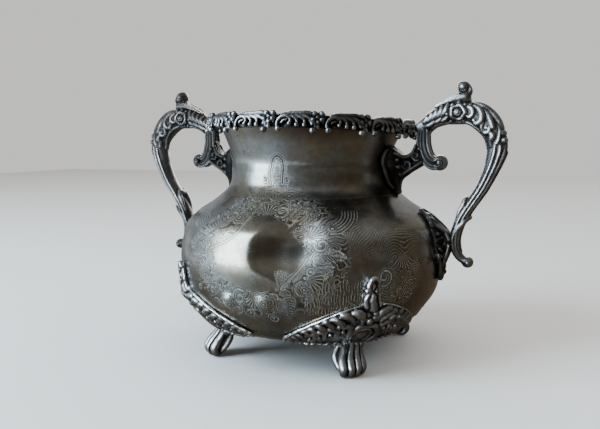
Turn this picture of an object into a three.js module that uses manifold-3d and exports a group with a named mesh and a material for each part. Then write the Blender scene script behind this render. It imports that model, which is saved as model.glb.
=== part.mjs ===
import * as THREE from 'three';
import * as BufferGeometryUtils from 'three/addons/utils/BufferGeometryUtils.js';
import Module from 'manifold-3d';

// Two-handled sugar bowl in silver-plated Britannia metal, standing on four paw feet.
// Millimetres, +Z up. The origin is on the table, on the bowl's own axis. The handles lie
// along X, the front is -Y, and the feet stand on the diagonals.

// Driving dimensions.
const WALL = 1.4;
const GAP = 0.35;
const BOWL_BOTTOM = 17.6;
const SEAM_HEIGHT = 83.6;
const NECK_TOP = 119.4;
const BASE_RADIUS = 51.2;
const BELLY_RADIUS = 69.2;
const BELLY_HEIGHT = 50;
const WAIST_RADIUS = 41;
const WAIST_HEIGHT = 101;
const MOUTH_RADIUS = 48;
const RIM_MOTIFS = 15;
const RIM_LOBE = 0.5;
const FOOT_AZIMUTHS = { front_right: -45, back_right: 45, back_left: 135, front_left: -135 };
const APRON_HALF_SPAN = 36;
const APRON_GAP = 0.7;
const SADDLE_GAP = 0.6;
const PAW_HEIGHT = 14.7;

const COLOURS = { plate: 0x5d5a55, cast: 0x3f4144, foot: 0x4a4b4c };

const wasm = await Module();
wasm.setup();

const radians = THREE.MathUtils.degToRad;
const { lerp, clamp, smoothstep } = THREE.MathUtils;

// The bowl's silhouette, from the bottom edge to the lip: radius, height.
const silhouette = new THREE.SplineCurve([
  [BASE_RADIUS, BOWL_BOTTOM], [59.6, 25], [66.6, 35], [BELLY_RADIUS, BELLY_HEIGHT], [68.1, 60],
  [64.6, 70], [51.3, 80], [43.2, 87.5], [41.6, 95], [WAIST_RADIUS, WAIST_HEIGHT], [44.1, 110],
  [46.9, 117], [MOUTH_RADIUS, NECK_TOP],
].map(([r, z]) => new THREE.Vector2(r, z))).getPoints(240);

function radiusAt(z) {
  if (z < BOWL_BOTTOM) {
    return BASE_RADIUS - 0.3 * (BOWL_BOTTOM - z);
  }
  const above = Math.max(1, silhouette.findIndex((p) => p.y >= z));
  const [low, high] = [silhouette[above - 1], silhouette[above]];
  return lerp(low.x, high.x, clamp((z - low.y) / (high.y - low.y), 0, 1));
}

// Knocks in the front of the belly: azimuth, height, half width, half height and depth.
const DENTS = [
  [-76, 64.5, 20, 18, 5.4],
  [-87, 62.5, 9, 13, 0.8],
];

function dentDepth(azimuth, z) {
  return DENTS.reduce((sum, [at, height, halfWidth, halfHeight, depth]) => {
    const across = radians(azimuth - at) * BELLY_RADIUS / halfWidth;
    const up = (z - height) / halfHeight;
    const away = Math.hypot(across, up);
    return sum + depth * (1 - smoothstep(away, 0, 1));
  }, 0);
}

// Moves every vertex of a geometry to where the function puts it.
function moveVertices(geometry, place) {
  const position = geometry.attributes.position;
  const p = new THREE.Vector3();
  for (let i = 0; i < position.count; i += 1) {
    p.fromBufferAttribute(position, i);
    place(p);
    position.setXYZ(i, p.x, p.y, p.z);
  }
  geometry.computeVertexNormals();
  return geometry;
}

function turned(points, segments) {
  return new THREE.LatheGeometry(points, segments).rotateX(Math.PI / 2);
}

// A spun wall of even thickness between two heights: its outline goes up outside and down inside.
function spunWall(bottom, top, rows) {
  const heights = Array.from({ length: rows + 1 }, (_, i) => lerp(bottom, top, i / rows));
  const outside = heights.map((z) => new THREE.Vector2(radiusAt(z), z));
  const inside = outside.map((p, i) => {
    const before = outside[Math.max(0, i - 1)];
    const after = outside[Math.min(rows, i + 1)];
    const along = after.clone().sub(before).normalize();
    return new THREE.Vector2(p.x - WALL * along.y, clamp(p.y + WALL * along.x, bottom, top));
  });
  return [...outside, ...inside.reverse(), outside[0]];
}

function bodyShell() {
  return moveVertices(turned(spunWall(BOWL_BOTTOM, SEAM_HEIGHT - GAP / 2, 10), 60), (p) => {
    const azimuth = THREE.MathUtils.radToDeg(Math.atan2(p.y, p.x));
    const depth = dentDepth(azimuth, p.z);
    const scale = 1 - depth / Math.hypot(p.x, p.y);
    p.set(p.x * scale, p.y * scale, p.z);
  });
}

function neckCollar() {
  return turned(spunWall(SEAM_HEIGHT + GAP / 2, NECK_TOP, 9), 48);
}

function bottomPlate() {
  const radius = BASE_RADIUS - WALL - GAP / 2;
  const low = BOWL_BOTTOM + 0.2;
  const thick = 1.4;
  const dome = 1.2;
  return turned([[0, low + dome], [radius - 14, low + dome], [radius, low], [radius, low + thick],
    [radius - 14, low + dome + thick], [0, low + dome + thick],
  ].map(([r, z]) => new THREE.Vector2(r, z)), 40);
}

// The cast border: a ring that caps the lip and swells outwards once for each scroll.
function rimBorder() {
  const section = [[48.7, 117.7], [50.2, 116], [54.9, 115.3], [56.4, 117.4], [56.3, 120.2],
    [54.4, 122.2], [51.8, 123], [48.2, 123], [46.4, 121.6], [46.6, NECK_TOP + GAP],
    [48.7, NECK_TOP + GAP], [48.7, 117.7]].map(([r, z]) => new THREE.Vector2(r, z));
  return moveVertices(turned(section, 4 * RIM_MOTIFS), (p) => {
    const wave = Math.cos(RIM_MOTIFS * (Math.atan2(p.y, p.x) + Math.PI / 2));
    const radius = Math.hypot(p.x, p.y);
    const swell = 1 + RIM_LOBE * wave * smoothstep(radius, 51, 55) / radius;
    p.set(p.x * swell, p.y * swell, p.z);
  });
}

// A round bar bent in the XZ plane. Each station is x, z, thickness in the plane, width along Y.
function bentBar(stations, sides) {
  const centre = new THREE.CatmullRomCurve3(stations.map(([x, z]) => new THREE.Vector3(x, 0, z)));
  const sizes = new THREE.CatmullRomCurve3(stations.map(([, , t, w]) => new THREE.Vector3(t, w, 0)));
  const bar = new THREE.CylinderGeometry(0.5, 0.5, 1, sides, 2 * (stations.length - 1));
  return moveVertices(bar, (p) => {
    const u = clamp(0.5 - p.y, 0, 1);
    const at = centre.getPoint(u);
    const along = centre.getTangent(u);
    const size = sizes.getPoint(u);
    const across = p.x * size.x;
    p.set(at.x - along.z * across, -p.z * size.y, at.z + along.x * across);
  });
}

function handleLoop() {
  return bentBar([
    [60.5, 117, 6.6, 8], [65.2, 120.6, 9, 10], [70.5, 122.9, 10.8, 11], [77.3, 124.1, 11.4, 11.5],
    [83.7, 122.5, 11.4, 11.5], [89.6, 118.1, 11, 11], [93.7, 112.7, 10.5, 10.5],
    [95, 106.8, 10.2, 10], [93.9, 101, 8.4, 9.6], [92.2, 96, 7.1, 9.4], [88.7, 88.2, 6, 9],
    [84.7, 81.7, 5.6, 9], [80.9, 75.6, 5.4, 9], [78, 69.6, 5.2, 9], [76.2, 62.7, 5.2, 9],
    [76.7, 57, 5.2, 8.5], [78.7, 53.3, 4.4, 7], [81.9, 51, 5, 7], [84.6, 50.9, 3.4, 5],
  ], 12);
}

function handleInnerScroll() {
  return bentBar([
    [60, 112.8, 5.4, 8], [60.1, 109, 5.6, 8], [60.9, 105, 5.8, 8], [62.7, 101.4, 5.6, 8],
    [65.3, 99.3, 5.8, 8], [68.2, 99.4, 6.6, 8], [70.8, 99.8, 4.2, 6],
  ], 10);
}

// A flat outline in the XZ plane, given a width along Y that may change from point to point.
function slab(outline, widthAt) {
  const shape = new THREE.Shape(outline.map(([x, z]) => new THREE.Vector2(x, z)));
  const solid = new THREE.ExtrudeGeometry(shape, { depth: 1, bevelEnabled: false });
  solid.rotateX(Math.PI / 2);
  return moveVertices(solid, (p) => {
    p.y = (p.y + 0.5) * widthAt(p.x, p.z);
  });
}

function handleThumbScroll() {
  return slab([[72.6, 130.4], [76, 131.9], [77.1, 133.9], [76.1, 136.3], [76.6, 137.9],
    [78.4, 138.5], [80.8, 137.7], [82.7, 135.1], [83, 133.2], [82, 131.4], [81, 130.4],
  ], (x, z) => lerp(8.5, 6, smoothstep(z, 130, 138)));
}

function toSolid(geometry) {
  geometry.deleteAttribute('normal');
  geometry.deleteAttribute('uv');
  const merged = BufferGeometryUtils.mergeVertices(geometry, 1e-4);
  return new wasm.Manifold(new wasm.Mesh({
    numProp: 3,
    vertProperties: new Float32Array(merged.attributes.position.array),
    triVerts: new Uint32Array(merged.index.array),
  }));
}

function toGeometry(solid) {
  const mesh = solid.getMesh();
  const geometry = new THREE.BufferGeometry();
  geometry.setAttribute('position', new THREE.BufferAttribute(mesh.vertProperties, 3));
  geometry.setIndex(new THREE.BufferAttribute(mesh.triVerts, 1));
  geometry.computeVertexNormals();
  return geometry;
}

// Cuts a piece to sit on the bowl like a saddle, clear of the wall by the working gap.
function saddled(geometry) {
  const bowl = silhouette.filter((_, i) => i % 8 === 0);
  const grown = bowl.map((p) => new THREE.Vector2(p.x + SADDLE_GAP, p.y));
  const axis = [new THREE.Vector2(0, BOWL_BOTTOM), new THREE.Vector2(0, NECK_TOP)];
  const core = turned([axis[0], ...grown, axis[1]], 60);
  return toGeometry(toSolid(geometry).subtract(toSolid(core)));
}

function handleNeckBracket() {
  const outline = [[40, 106.9], [44.6, 106.9], [46.1, 106.2], [48.2, 104.4], [50.8, 103.2],
    [52.8, 103.7], [54.8, 105.2], [56.1, 107.2], [56.6, 109.8], [56.8, 107.2], [57.5, 104],
    [58.7, 101.3], [60, 99.3], [58.4, 97.3], [55.4, 95.2], [52.4, 93.2], [50.4, 91.9],
    [49.2, 90], [48.9, 85.6], [48.5, 83.9], [40, 83.9]].reverse();
  return saddled(slab(outline, (x, z) => {
    const foot = lerp(4, 17.4, smoothstep(z, 84, 101));
    return lerp(foot, 8, smoothstep(x, 46, 56));
  }));
}

function handleBodyPlate() {
  const outline = [[55, 74.3], [63.2, 74.3], [64.8, 72.5], [67.9, 69.6], [70.9, 67.2],
    [72.6, 65.6], [73, 62.5], [73.4, 57.5], [73.9, 54.6], [72.7, 51.3], [71.3, 47.6],
    [70.8, 46.1], [70.9, 43.5], [69.9, 42.4], [60, 42.4]].reverse();
  return saddled(slab(outline, (x, z) => {
    const foot = z > 63 ? lerp(26, 6, smoothstep(z, 63, 75)) : lerp(5, 26, smoothstep(z, 41, 63));
    return lerp(foot, 8, smoothstep(x, 66, 73));
  }));
}

// A foot's leaf-work apron: a cast skin that lies on the bowl's lower wall, deepest over the paw,
// with a pointed leaf rising in its middle and a long tip on each side.
function footApron() {
  const tipHeight = 51.2;
  const shoulder = 4.3;
  const skin = new THREE.BoxGeometry(1, 1, 1, 20, 6, 1);
  return moveVertices(skin, (p) => {
    const side = Math.abs(2 * p.x) ** 1.4;
    const turn = APRON_HALF_SPAN * side;
    const wing = 39.2 - 0.555 * (turn - shoulder);
    const leaf = tipHeight - 12 * (turn / shoulder) ** 2;
    const top = turn < shoulder ? leaf : wing;
    const bottom = lerp(15.2, 19.2, side ** 2);
    const z = lerp(bottom, top, p.y + 0.5);
    const thick = lerp(3.4, 1.6, smoothstep(z, 16, 38));
    const radius = radiusAt(z) + APRON_GAP + (p.z + 0.5) * thick;
    const azimuth = radians(turn) * Math.sign(p.x);
    p.set(radius * Math.cos(azimuth), radius * Math.sin(azimuth), z);
  });
}

// A lion's paw: sections going up from the sole, each with its height, the distance of its centre
// from the bowl's axis, its half depth, its half width and how far it leans to one side.
function footPaw() {
  const sections = [[0, 52.2, 3.4, 5, 2.6], [1.5, 52.1, 4.6, 5.8, 2.8], [3, 52.1, 5.5, 6.3, 2.9],
    [5.5, 51.8, 6.6, 6.7, 2.9], [8.5, 51.3, 6.7, 6.9, 2.6], [11.3, 49.9, 5.6, 7.2, 1.6],
    [PAW_HEIGHT, 49.5, 4.8, 7.6, 0.4]];
  const rows = sections.length - 1;
  const paw = new THREE.CylinderGeometry(1, 1, 1, 20, rows).rotateX(Math.PI / 2);
  return moveVertices(paw, (p) => {
    const [z, centre, halfDepth, halfWidth, lean] = sections[Math.round((p.z + 0.5) * rows)];
    const toes = p.x > 0.05 ? 1 + 0.05 * Math.cos(10 * Math.atan2(p.y, p.x)) : 1;
    p.set(centre + p.x * halfDepth * toes, p.y * halfWidth * toes - lean, z);
  });
}

function metal(colour, roughness) {
  return new THREE.MeshStandardMaterial({ color: colour, roughness, metalness: 0.95 });
}

function named(name, geometry, material) {
  const mesh = new THREE.Mesh(geometry, material);
  mesh.name = name;
  return mesh;
}

function handle(side) {
  const group = new THREE.Group();
  const pieces = {
    loop: handleLoop(),
    thumb_scroll: handleThumbScroll(),
    inner_scroll: handleInnerScroll(),
    neck_bracket: handleNeckBracket(),
    body_plate: handleBodyPlate(),
  };
  for (const [name, geometry] of Object.entries(pieces)) {
    group.add(named(`${side}_handle_${name}`, geometry, metal(COLOURS.cast, 0.38)));
  }
  group.rotation.z = side === 'left' ? Math.PI : 0;
  return group;
}

function foot(corner, azimuth) {
  const group = new THREE.Group();
  group.add(named(`${corner}_foot_apron`, footApron(), metal(COLOURS.foot, 0.42)));
  group.add(named(`${corner}_foot_paw`, footPaw(), metal(COLOURS.foot, 0.36)));
  group.rotation.z = radians(azimuth);
  return group;
}

const bowl = new THREE.Group();
bowl.add(named('body_shell', bodyShell(), metal(COLOURS.plate, 0.34)));
bowl.add(named('neck_collar', neckCollar(), metal(COLOURS.plate, 0.3)));
bowl.add(named('bottom_plate', bottomPlate(), metal(COLOURS.plate, 0.45)));
bowl.add(named('rim_border', rimBorder(), metal(COLOURS.cast, 0.4)));
bowl.add(handle('right'), handle('left'));
for (const [corner, azimuth] of Object.entries(FOOT_AZIMUTHS)) {
  bowl.add(foot(corner, azimuth));
}

export default bowl;
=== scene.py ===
"""The looks of an old silver-plated sugar bowl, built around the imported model.

Shapes are worked out in millimetres in the model's own frame and scaled to metres when a mesh is made.
Azimuths are in degrees about the bowl's axis: 0 is the right handle, -90 is the front, with its dent.
"""

import math

import bpy
import numpy as np
import openvdb
from mathutils import Matrix, Vector


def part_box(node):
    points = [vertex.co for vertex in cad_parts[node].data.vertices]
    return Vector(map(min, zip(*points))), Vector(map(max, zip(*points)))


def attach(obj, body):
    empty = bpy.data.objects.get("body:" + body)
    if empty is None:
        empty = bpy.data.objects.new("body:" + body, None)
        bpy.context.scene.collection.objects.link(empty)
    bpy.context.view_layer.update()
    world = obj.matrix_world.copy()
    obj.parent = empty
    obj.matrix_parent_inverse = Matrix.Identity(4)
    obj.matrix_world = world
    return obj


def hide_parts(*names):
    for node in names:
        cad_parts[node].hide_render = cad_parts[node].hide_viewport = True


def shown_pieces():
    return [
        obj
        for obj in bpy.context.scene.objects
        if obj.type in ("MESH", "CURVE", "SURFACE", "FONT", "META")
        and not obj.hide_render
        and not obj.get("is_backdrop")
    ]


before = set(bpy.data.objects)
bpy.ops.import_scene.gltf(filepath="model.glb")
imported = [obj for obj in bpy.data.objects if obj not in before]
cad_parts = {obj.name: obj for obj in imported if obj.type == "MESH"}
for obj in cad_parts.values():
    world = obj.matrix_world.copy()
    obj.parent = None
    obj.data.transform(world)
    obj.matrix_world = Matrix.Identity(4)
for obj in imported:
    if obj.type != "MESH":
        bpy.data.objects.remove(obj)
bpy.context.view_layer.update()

MM = 0.001
BODY = "root"


def node_box(node):
    """Lowest and highest corner of a CAD node, in millimetres."""
    low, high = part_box(node)
    return np.array(low) / MM, np.array(high) / MM


SHELL_LOW, SHELL_HIGH = node_box("body_shell")
NECK_LOW, NECK_HIGH = node_box("neck_collar")
RIM_LOW, RIM_HIGH = node_box("rim_border")
PAW_TOP = node_box("front_right_foot_paw")[1][2]

BOTTOM = SHELL_LOW[2]
SEAM = (SHELL_HIGH[2] + NECK_LOW[2]) / 2
SEAM_LAP = 0.1
LIP = NECK_HIGH[2]
BELLY = SHELL_HIGH[0]
BASE_RADIUS = 51.2
WALL = 1.3
BELLY_HEIGHT = 50
# The bowl's silhouette from the bottom edge to the lip: radius, height.
SILHOUETTE = [
    (BASE_RADIUS, BOTTOM), (59.6, 25), (66.6, 35), (BELLY, BELLY_HEIGHT), (68.1, 60), (64.6, 70),
    (51.3, 80), (43.2, 87.5), (41.6, 95), (41.0, 101), (44.1, 110), (46.9, 117), (48.0, LIP),
]
FOOT_AZIMUTHS = {"front_right": -45, "back_right": 45, "back_left": 135, "front_left": -135}
HANDLE_TURNS = {"right": 0, "left": 180}
RIM_MOTIFS = 15
FIRST_FLOWER = -89.4


# ---- curves and outlines

def through(points, per_span):
    """A smooth curve through rows of numbers, with per_span steps from each row to the next."""
    p = np.array(points, float)
    p = np.vstack([2 * p[0] - p[1], p, 2 * p[-1] - p[-2]])
    t = (np.arange(per_span) / per_span)[:, None]
    spans = []
    for a, b, c, d in zip(p, p[1:], p[2:], p[3:]):
        second, third = 2 * a - 5 * b + 4 * c - d, 3 * b - a - 3 * c + d
        spans.append(0.5 * (2 * b + (c - a) * t + second * t**2 + third * t**3))
    return np.vstack([*spans, p[-2:-1]])


CURL_ROWS = 14


def spiral(centre, start, end, angle, turns, thick):
    """Rows (across, up, thickness) of a curl between two radii, clockwise if turns is negative."""
    t = np.linspace(0, 1, CURL_ROWS)
    radius = start + (end - start) * t
    turn = np.radians(angle + 360 * turns * t)
    across = centre[0] + radius * np.cos(turn)
    up = centre[1] + radius * np.sin(turn)
    return np.stack([across, up, thick * (1 - 0.35 * t)], 1)


def smoothstep(x, low, high):
    """0 up to low, 1 beyond high, and a smooth rise between them."""
    t = np.clip((x - low) / (high - low), 0, 1)
    return t * t * (3 - 2 * t)


def fade(x, low, high):
    return 1 - smoothstep(x, low, high)


bowl_curve = through(SILHOUETTE, 24)
arc_lengths = np.concatenate([[0], np.cumsum(np.hypot(*np.diff(bowl_curve, axis=0).T))])


def radius_at(z):
    below = BASE_RADIUS - 0.3 * np.maximum(BOTTOM - np.asarray(z, float), 0)
    return np.where(np.asarray(z) < BOTTOM, below, np.interp(z, bowl_curve[:, 1], bowl_curve[:, 0]))


def arc_at(z):
    """How far up the bowl's own curve a height lies."""
    return np.interp(z, bowl_curve[:, 1], arc_lengths)


def height_at(arc):
    return np.interp(arc, arc_lengths, bowl_curve[:, 1])


def radius_along(arc):
    return np.interp(arc, arc_lengths, bowl_curve[:, 0])


# ---- voxel clay

# Distances are kept up to FAR, and worked out as far as the two reaches round a rod and an egg.
FAR = 3.0
CHAIN_REACH = 1.2
EGG_REACH = 1.0


class Section:
    """Distance to a closed outline in a plane, negative inside, kept in a fine table."""

    STEP = 0.25
    MARGIN = 8

    def __init__(self, outline):
        outline = np.array(outline, float)
        self.low = outline.min(0) - self.MARGIN
        high = outline.max(0) + self.MARGIN
        x = np.arange(self.low[0], high[0], self.STEP)[:, None]
        y = np.arange(self.low[1], high[1], self.STEP)[None, :]
        away = np.full((x.size, y.size), np.inf)
        inside = np.zeros(away.shape, bool)
        for (ax, ay), (bx, by) in zip(outline, np.roll(outline, -1, 0)):
            ex, ey = bx - ax, by - ay
            t = np.clip(((x - ax) * ex + (y - ay) * ey) / max(ex * ex + ey * ey, 1e-12), 0, 1)
            away = np.minimum(away, (x - ax - t * ex) ** 2 + (y - ay - t * ey) ** 2)
            if ey:
                inside ^= ((ay > y) != (by > y)) & (x < ax + ex * (y - ay) / ey)
        self.table = np.where(inside, -1, 1) * np.sqrt(away)

    def __call__(self, x, y):
        i = np.clip((x - self.low[0]) / self.STEP, 0, self.table.shape[0] - 1.001)
        j = np.clip((y - self.low[1]) / self.STEP, 0, self.table.shape[1] - 1.001)
        i, j = np.broadcast_arrays(i, j)
        i0, j0 = i.astype(int), j.astype(int)
        u, v = i - i0, j - j0
        t = self.table
        near = t[i0, j0] * (1 - u) + t[i0 + 1, j0] * u
        return near * (1 - v) + (t[i0, j0 + 1] * (1 - u) + t[i0 + 1, j0 + 1] * u) * v


class Clay:
    """A block of voxels that hold the distance to a casting's surface, negative inside."""

    def __init__(self, low, high, cell):
        self.low = np.array(low, float)
        self.cell = cell
        self.shape = [math.ceil((b - a) / cell) + 1 for a, b in zip(low, high)]
        self.d = np.full(self.shape, FAR, np.float32)

    def window(self, low, high):
        """The slices between two corners, and the x, y and z of their voxels."""
        first = np.maximum(np.floor((np.array(low) - self.low) / self.cell).astype(int), 0)
        last = np.minimum(np.ceil((np.array(high) - self.low) / self.cell).astype(int) + 1, self.shape)
        last = np.maximum(last, first)
        axes = [
            corner + self.cell * np.arange(a, b, dtype=np.float32)
            for corner, a, b in zip(self.low, first, last)
        ]
        where = tuple(slice(a, b) for a, b in zip(first, last))
        return where, np.meshgrid(*axes, indexing="ij", sparse=True)

    def whole(self):
        return self.window(self.low, self.low + self.cell * np.array(self.shape))

    def add(self, where, d, soft=0.35):
        """Adds material, with a fillet of about that size."""
        old = self.d[where]
        h = np.maximum(soft - np.abs(old - d), 0) / soft
        self.d[where] = np.clip(np.minimum(old, d) - h * h * soft / 4, -FAR, FAR)

    def cut(self, where, d, soft):
        """Takes material away where d is negative."""
        old = self.d[where]
        h = np.maximum(soft - np.abs(old + d), 0) / soft
        self.d[where] = np.clip(np.maximum(old, -d) + h * h * soft / 4, -FAR, FAR)

    def chain(self, points, radii):
        """The window round a tapered rod through the points, and the distance to it there."""
        points = np.asarray(points)
        radii = np.broadcast_to(radii, len(points))
        reach = np.max(radii) + CHAIN_REACH
        where, (x, y, z) = self.window(points.min(0) - reach, points.max(0) + reach)
        away = np.full(self.d[where].shape, FAR, np.float32)
        origin = self.low + self.cell * np.array([s.start for s in where])
        for a, b, ra, rb in zip(points, points[1:], radii, radii[1:]):
            near = max(ra, rb) + CHAIN_REACH
            first = np.floor((np.minimum(a, b) - near - origin) / self.cell).astype(int)
            last = np.ceil((np.maximum(a, b) + near - origin) / self.cell).astype(int) + 1
            first, last = np.clip(first, 0, away.shape), np.clip(last, 0, away.shape)
            i, j, k = (slice(p, q) for p, q in zip(first, last))
            dx, dy, dz = x[i] - a[0], y[:, j] - a[1], z[:, :, k] - a[2]
            e = b - a
            t = np.clip((dx * e[0] + dy * e[1] + dz * e[2]) / max(e @ e, 1e-9), 0, 1)
            d = np.sqrt((dx - t * e[0]) ** 2 + (dy - t * e[1]) ** 2 + (dz - t * e[2]) ** 2)
            away[i, j, k] = np.minimum(away[i, j, k], d - ra - t * (rb - ra))
        return where, away

    def rod(self, points, radii, soft):
        self.add(*self.chain(points, radii), soft)

    def groove(self, points, radii, soft=0.25):
        self.cut(*self.chain(points, radii), soft)

    def egg(self, centre, radii):
        """The window round an ellipsoid, or a ball if radii is one number, and the distance to it."""
        radii = np.broadcast_to(radii, 3)
        reach = max(radii) + EGG_REACH
        centre = np.asarray(centre, float)
        where, spot = self.window(centre - reach, centre + reach)
        size = sum(((along - middle) / r) ** 2 for along, middle, r in zip(spot, centre, radii))
        return where, (np.sqrt(size) - 1) * min(radii)

    def bead(self, centre, radii, soft):
        self.add(*self.egg(centre, radii), soft)

    def hollow(self, centre, radii):
        self.cut(*self.egg(centre, radii), 0.25)

    def wear(self, amount, size, seed):
        """Small unevenness of a hand-finished casting."""
        rng = np.random.default_rng(seed)
        coarse = rng.normal(size=[int(n * self.cell / size) + 3 for n in self.shape])
        for axis, n in enumerate(self.shape):
            at = np.arange(n) * self.cell / size
            base = at.astype(int)
            share = (at - base).reshape([-1 if k == axis else 1 for k in range(3)])
            share = share * share * (3 - 2 * share)
            first, second = np.take(coarse, base, axis), np.take(coarse, base + 1, axis)
            coarse = first + (second - first) * share
        self.d += (amount * coarse).astype(np.float32)

    def skin(self):
        """Surface points, four-sided faces, and how far each point stands out from what is round it."""
        grid = openvdb.FloatGrid(FAR)
        grid.copyFromArray(self.d)
        points, quads = grid.convertToQuads(0.0)
        points = np.asarray(points, float)
        around = self.d.copy()
        for axis in range(3):
            around = spread(around, axis, max(1, round(1.1 / self.cell)))
        at = np.clip(points, 0, np.array(self.shape) - 1.001)
        base = at.astype(int)
        part = at - base
        proud = np.zeros(len(points))
        for corner in np.ndindex(2, 2, 2):
            weight = np.prod(np.where(corner, part, 1 - part), 1)
            proud += weight * around[tuple((base + corner).T)]
        return self.low + self.cell * points, np.asarray(quads)[:, ::-1], proud


def spread(values, axis, reach):
    """The mean over reach voxels each way along one axis."""
    pad = [(reach + 1, reach) if k == axis else (0, 0) for k in range(3)]
    total = np.cumsum(np.pad(values, pad, mode="edge"), axis, dtype=np.float64)
    length = values.shape[axis]
    upper = np.take(total, np.arange(2 * reach + 1, 2 * reach + 1 + length), axis)
    lower = np.take(total, np.arange(length), axis)
    return ((upper - lower) / (2 * reach + 1)).astype(np.float32)


# ---- meshes

def make_piece(name, points, faces, slot, **values):
    """A mesh of points in millimetres and four-sided faces, in place of the node it is named after."""
    faces = np.asarray(faces, np.int32)
    mesh = bpy.data.meshes.new(name)
    mesh.vertices.add(len(points))
    mesh.vertices.foreach_set("co", (np.asarray(points) * MM).astype(np.float32).ravel())
    mesh.loops.add(faces.size)
    mesh.loops.foreach_set("vertex_index", faces.ravel())
    mesh.polygons.add(len(faces))
    mesh.polygons.foreach_set("loop_start", np.arange(0, faces.size, 4, dtype=np.int32))
    mesh.polygons.foreach_set("use_smooth", np.ones(len(faces), bool))
    for key, value in values.items():
        layer = mesh.attributes.new(key, "FLOAT", "POINT")
        layer.data.foreach_set("value", np.asarray(value, np.float32))
    mesh.update(calc_edges=True)
    mesh.validate()
    piece = bpy.data.objects.new(name, mesh)
    bpy.context.scene.collection.objects.link(piece)
    mesh.materials.append(materials[slot])
    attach(piece, BODY)
    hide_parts(name.removesuffix("_look"))


def turned_about_z(points, degrees):
    c, s = math.cos(math.radians(degrees)), math.sin(math.radians(degrees))
    x, y, z = np.asarray(points).T
    return np.stack([c * x - s * y, s * x + c * y, z], 1)


# ---- surfaces that relief lies on

bowl_section = Section([(0, BOTTOM - 4), (BASE_RADIUS - 1.2, BOTTOM - 4), *bowl_curve, (0, LIP)])


def on_bowl(azimuth, z, lift):
    """Points standing off the bowl's wall by lift, square to it."""
    azimuth, z = np.radians(azimuth), np.asarray(z, float)
    r = radius_at(z)
    slope = (radius_at(z + 0.4) - radius_at(z - 0.4)) / 0.8
    steep = 1 / np.sqrt(1 + slope**2)
    r = r + lift * steep
    return np.stack([r * np.cos(azimuth), r * np.sin(azimuth), z - lift * slope * steep], -1)


def limit(a, b, soft):
    """The rounded meeting of two distances, for what lies inside both."""
    h = np.maximum(soft - np.abs(a - b), 0) / soft
    return np.maximum(a, b) + h * h * soft / 4


THINNEST = 0.12


def stroke(clay, place, rows, lift, soft):
    """Lays a tapered stroke. Its rows are two surface coordinates and a radius; lift is in radii."""
    path = through(rows, 5)
    radii = np.maximum(path[:, 2], THINNEST)
    clay.rod(place(path[:, 0], path[:, 1], lift * radii), radii, soft)


def knobs(clay, place, rows, lift, soft):
    """Sets balls on a surface, from the same kind of rows."""
    for across, up, radius in rows:
        clay.bead(place(across, up, lift * radius), radius, soft)


# ---- the cast border round the lip

# The radius of the border's face, where its motifs lie.
RIM_FACE = 53.9
RIM_SECTION = [
    (46.6, LIP + 0.4), (46.4, 122.1), (47.2, 122.8), (50.0, 123.1), (51.8, 122.6), (52.7, 121.4),
    (53.1, 119.6), (53.5, 117.8), (53.2, 117.0), (52.0, 116.7), (50.4, 117.2), (49.0, 118.5),
    (48.7, LIP + 0.4),
]
# One motif of the border, from one flower to the next: millimetres along the border, height, radius.
RIM_STROKES = [
    [(5.0, 116.3, .9), (4.3, 118.0, .72), (4.8, 119.9, .75), (6.4, 121.4, .85), (8.6, 121.9, .95),
     (10.3, 121.1, .85), (10.7, 119.8, .75), (10.0, 118.6, .7)],
    [(6.3, 118.8, .4), (7.2, 119.9, .5), (8.8, 120.2, .5)],
    [(9.6, 122.2, .6), (12.0, 121.6, .8), (13.6, 120.1, .75), (13.5, 118.5, .7)],
    [(12.0, 122.4, .6), (14.8, 121.7, .8), (17.0, 120.3, .75), (17.0, 118.5, .7)],
    [(14.8, 122.6, .65), (18.2, 121.7, .95), (20.9, 119.8, .9), (21.7, 117.6, .85), (20.7, 116.0, 1.0)],
    [(6.2, 122.5, .6), (9.9, 123.1, .95), (14.9, 123.2, 1.15), (19.0, 123.2, 1.35), (21.4, 122.5, 1.05)],
    [(0.1, 120.1, .7), (0.6, 118.8, .65), (0.3, 117.4, .8)],
    [(-2.6, 122.2, .6), (-3.4, 120.6, .65), (-2.4, 119.0, .75)],
    [(3.0, 122.1, .6), (3.3, 120.6, .5), (2.6, 119.3, .6)],
]
RIM_BEADS = [
    (5.0, 116.2, 1.4), (10.0, 118.5, .95), (13.4, 118.1, 1.1), (16.9, 118.1, 1.15), (20.6, 115.8, 1.55),
    (-1.7, 120.6, 1.2), (0.4, 121.7, 1.0), (2.3, 120.7, 1.15), (-0.8, 123.0, 1.55), (2.4, 123.1, 1.6),
    (0.4, 119.4, 1.0), (0.3, 117.1, 1.0), (-2.2, 118.6, .9),
]
RIM_HOLLOWS = [
    (8.0, 119.4, 1.3), (12.0, 119.0, 1.1), (15.4, 119.3, 1.1), (18.9, 119.3, 1.3), (2.6, 117.6, 1.1),
    (-1.8, 117.4, .9), (7.4, 117.6, 1.0),
]


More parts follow.
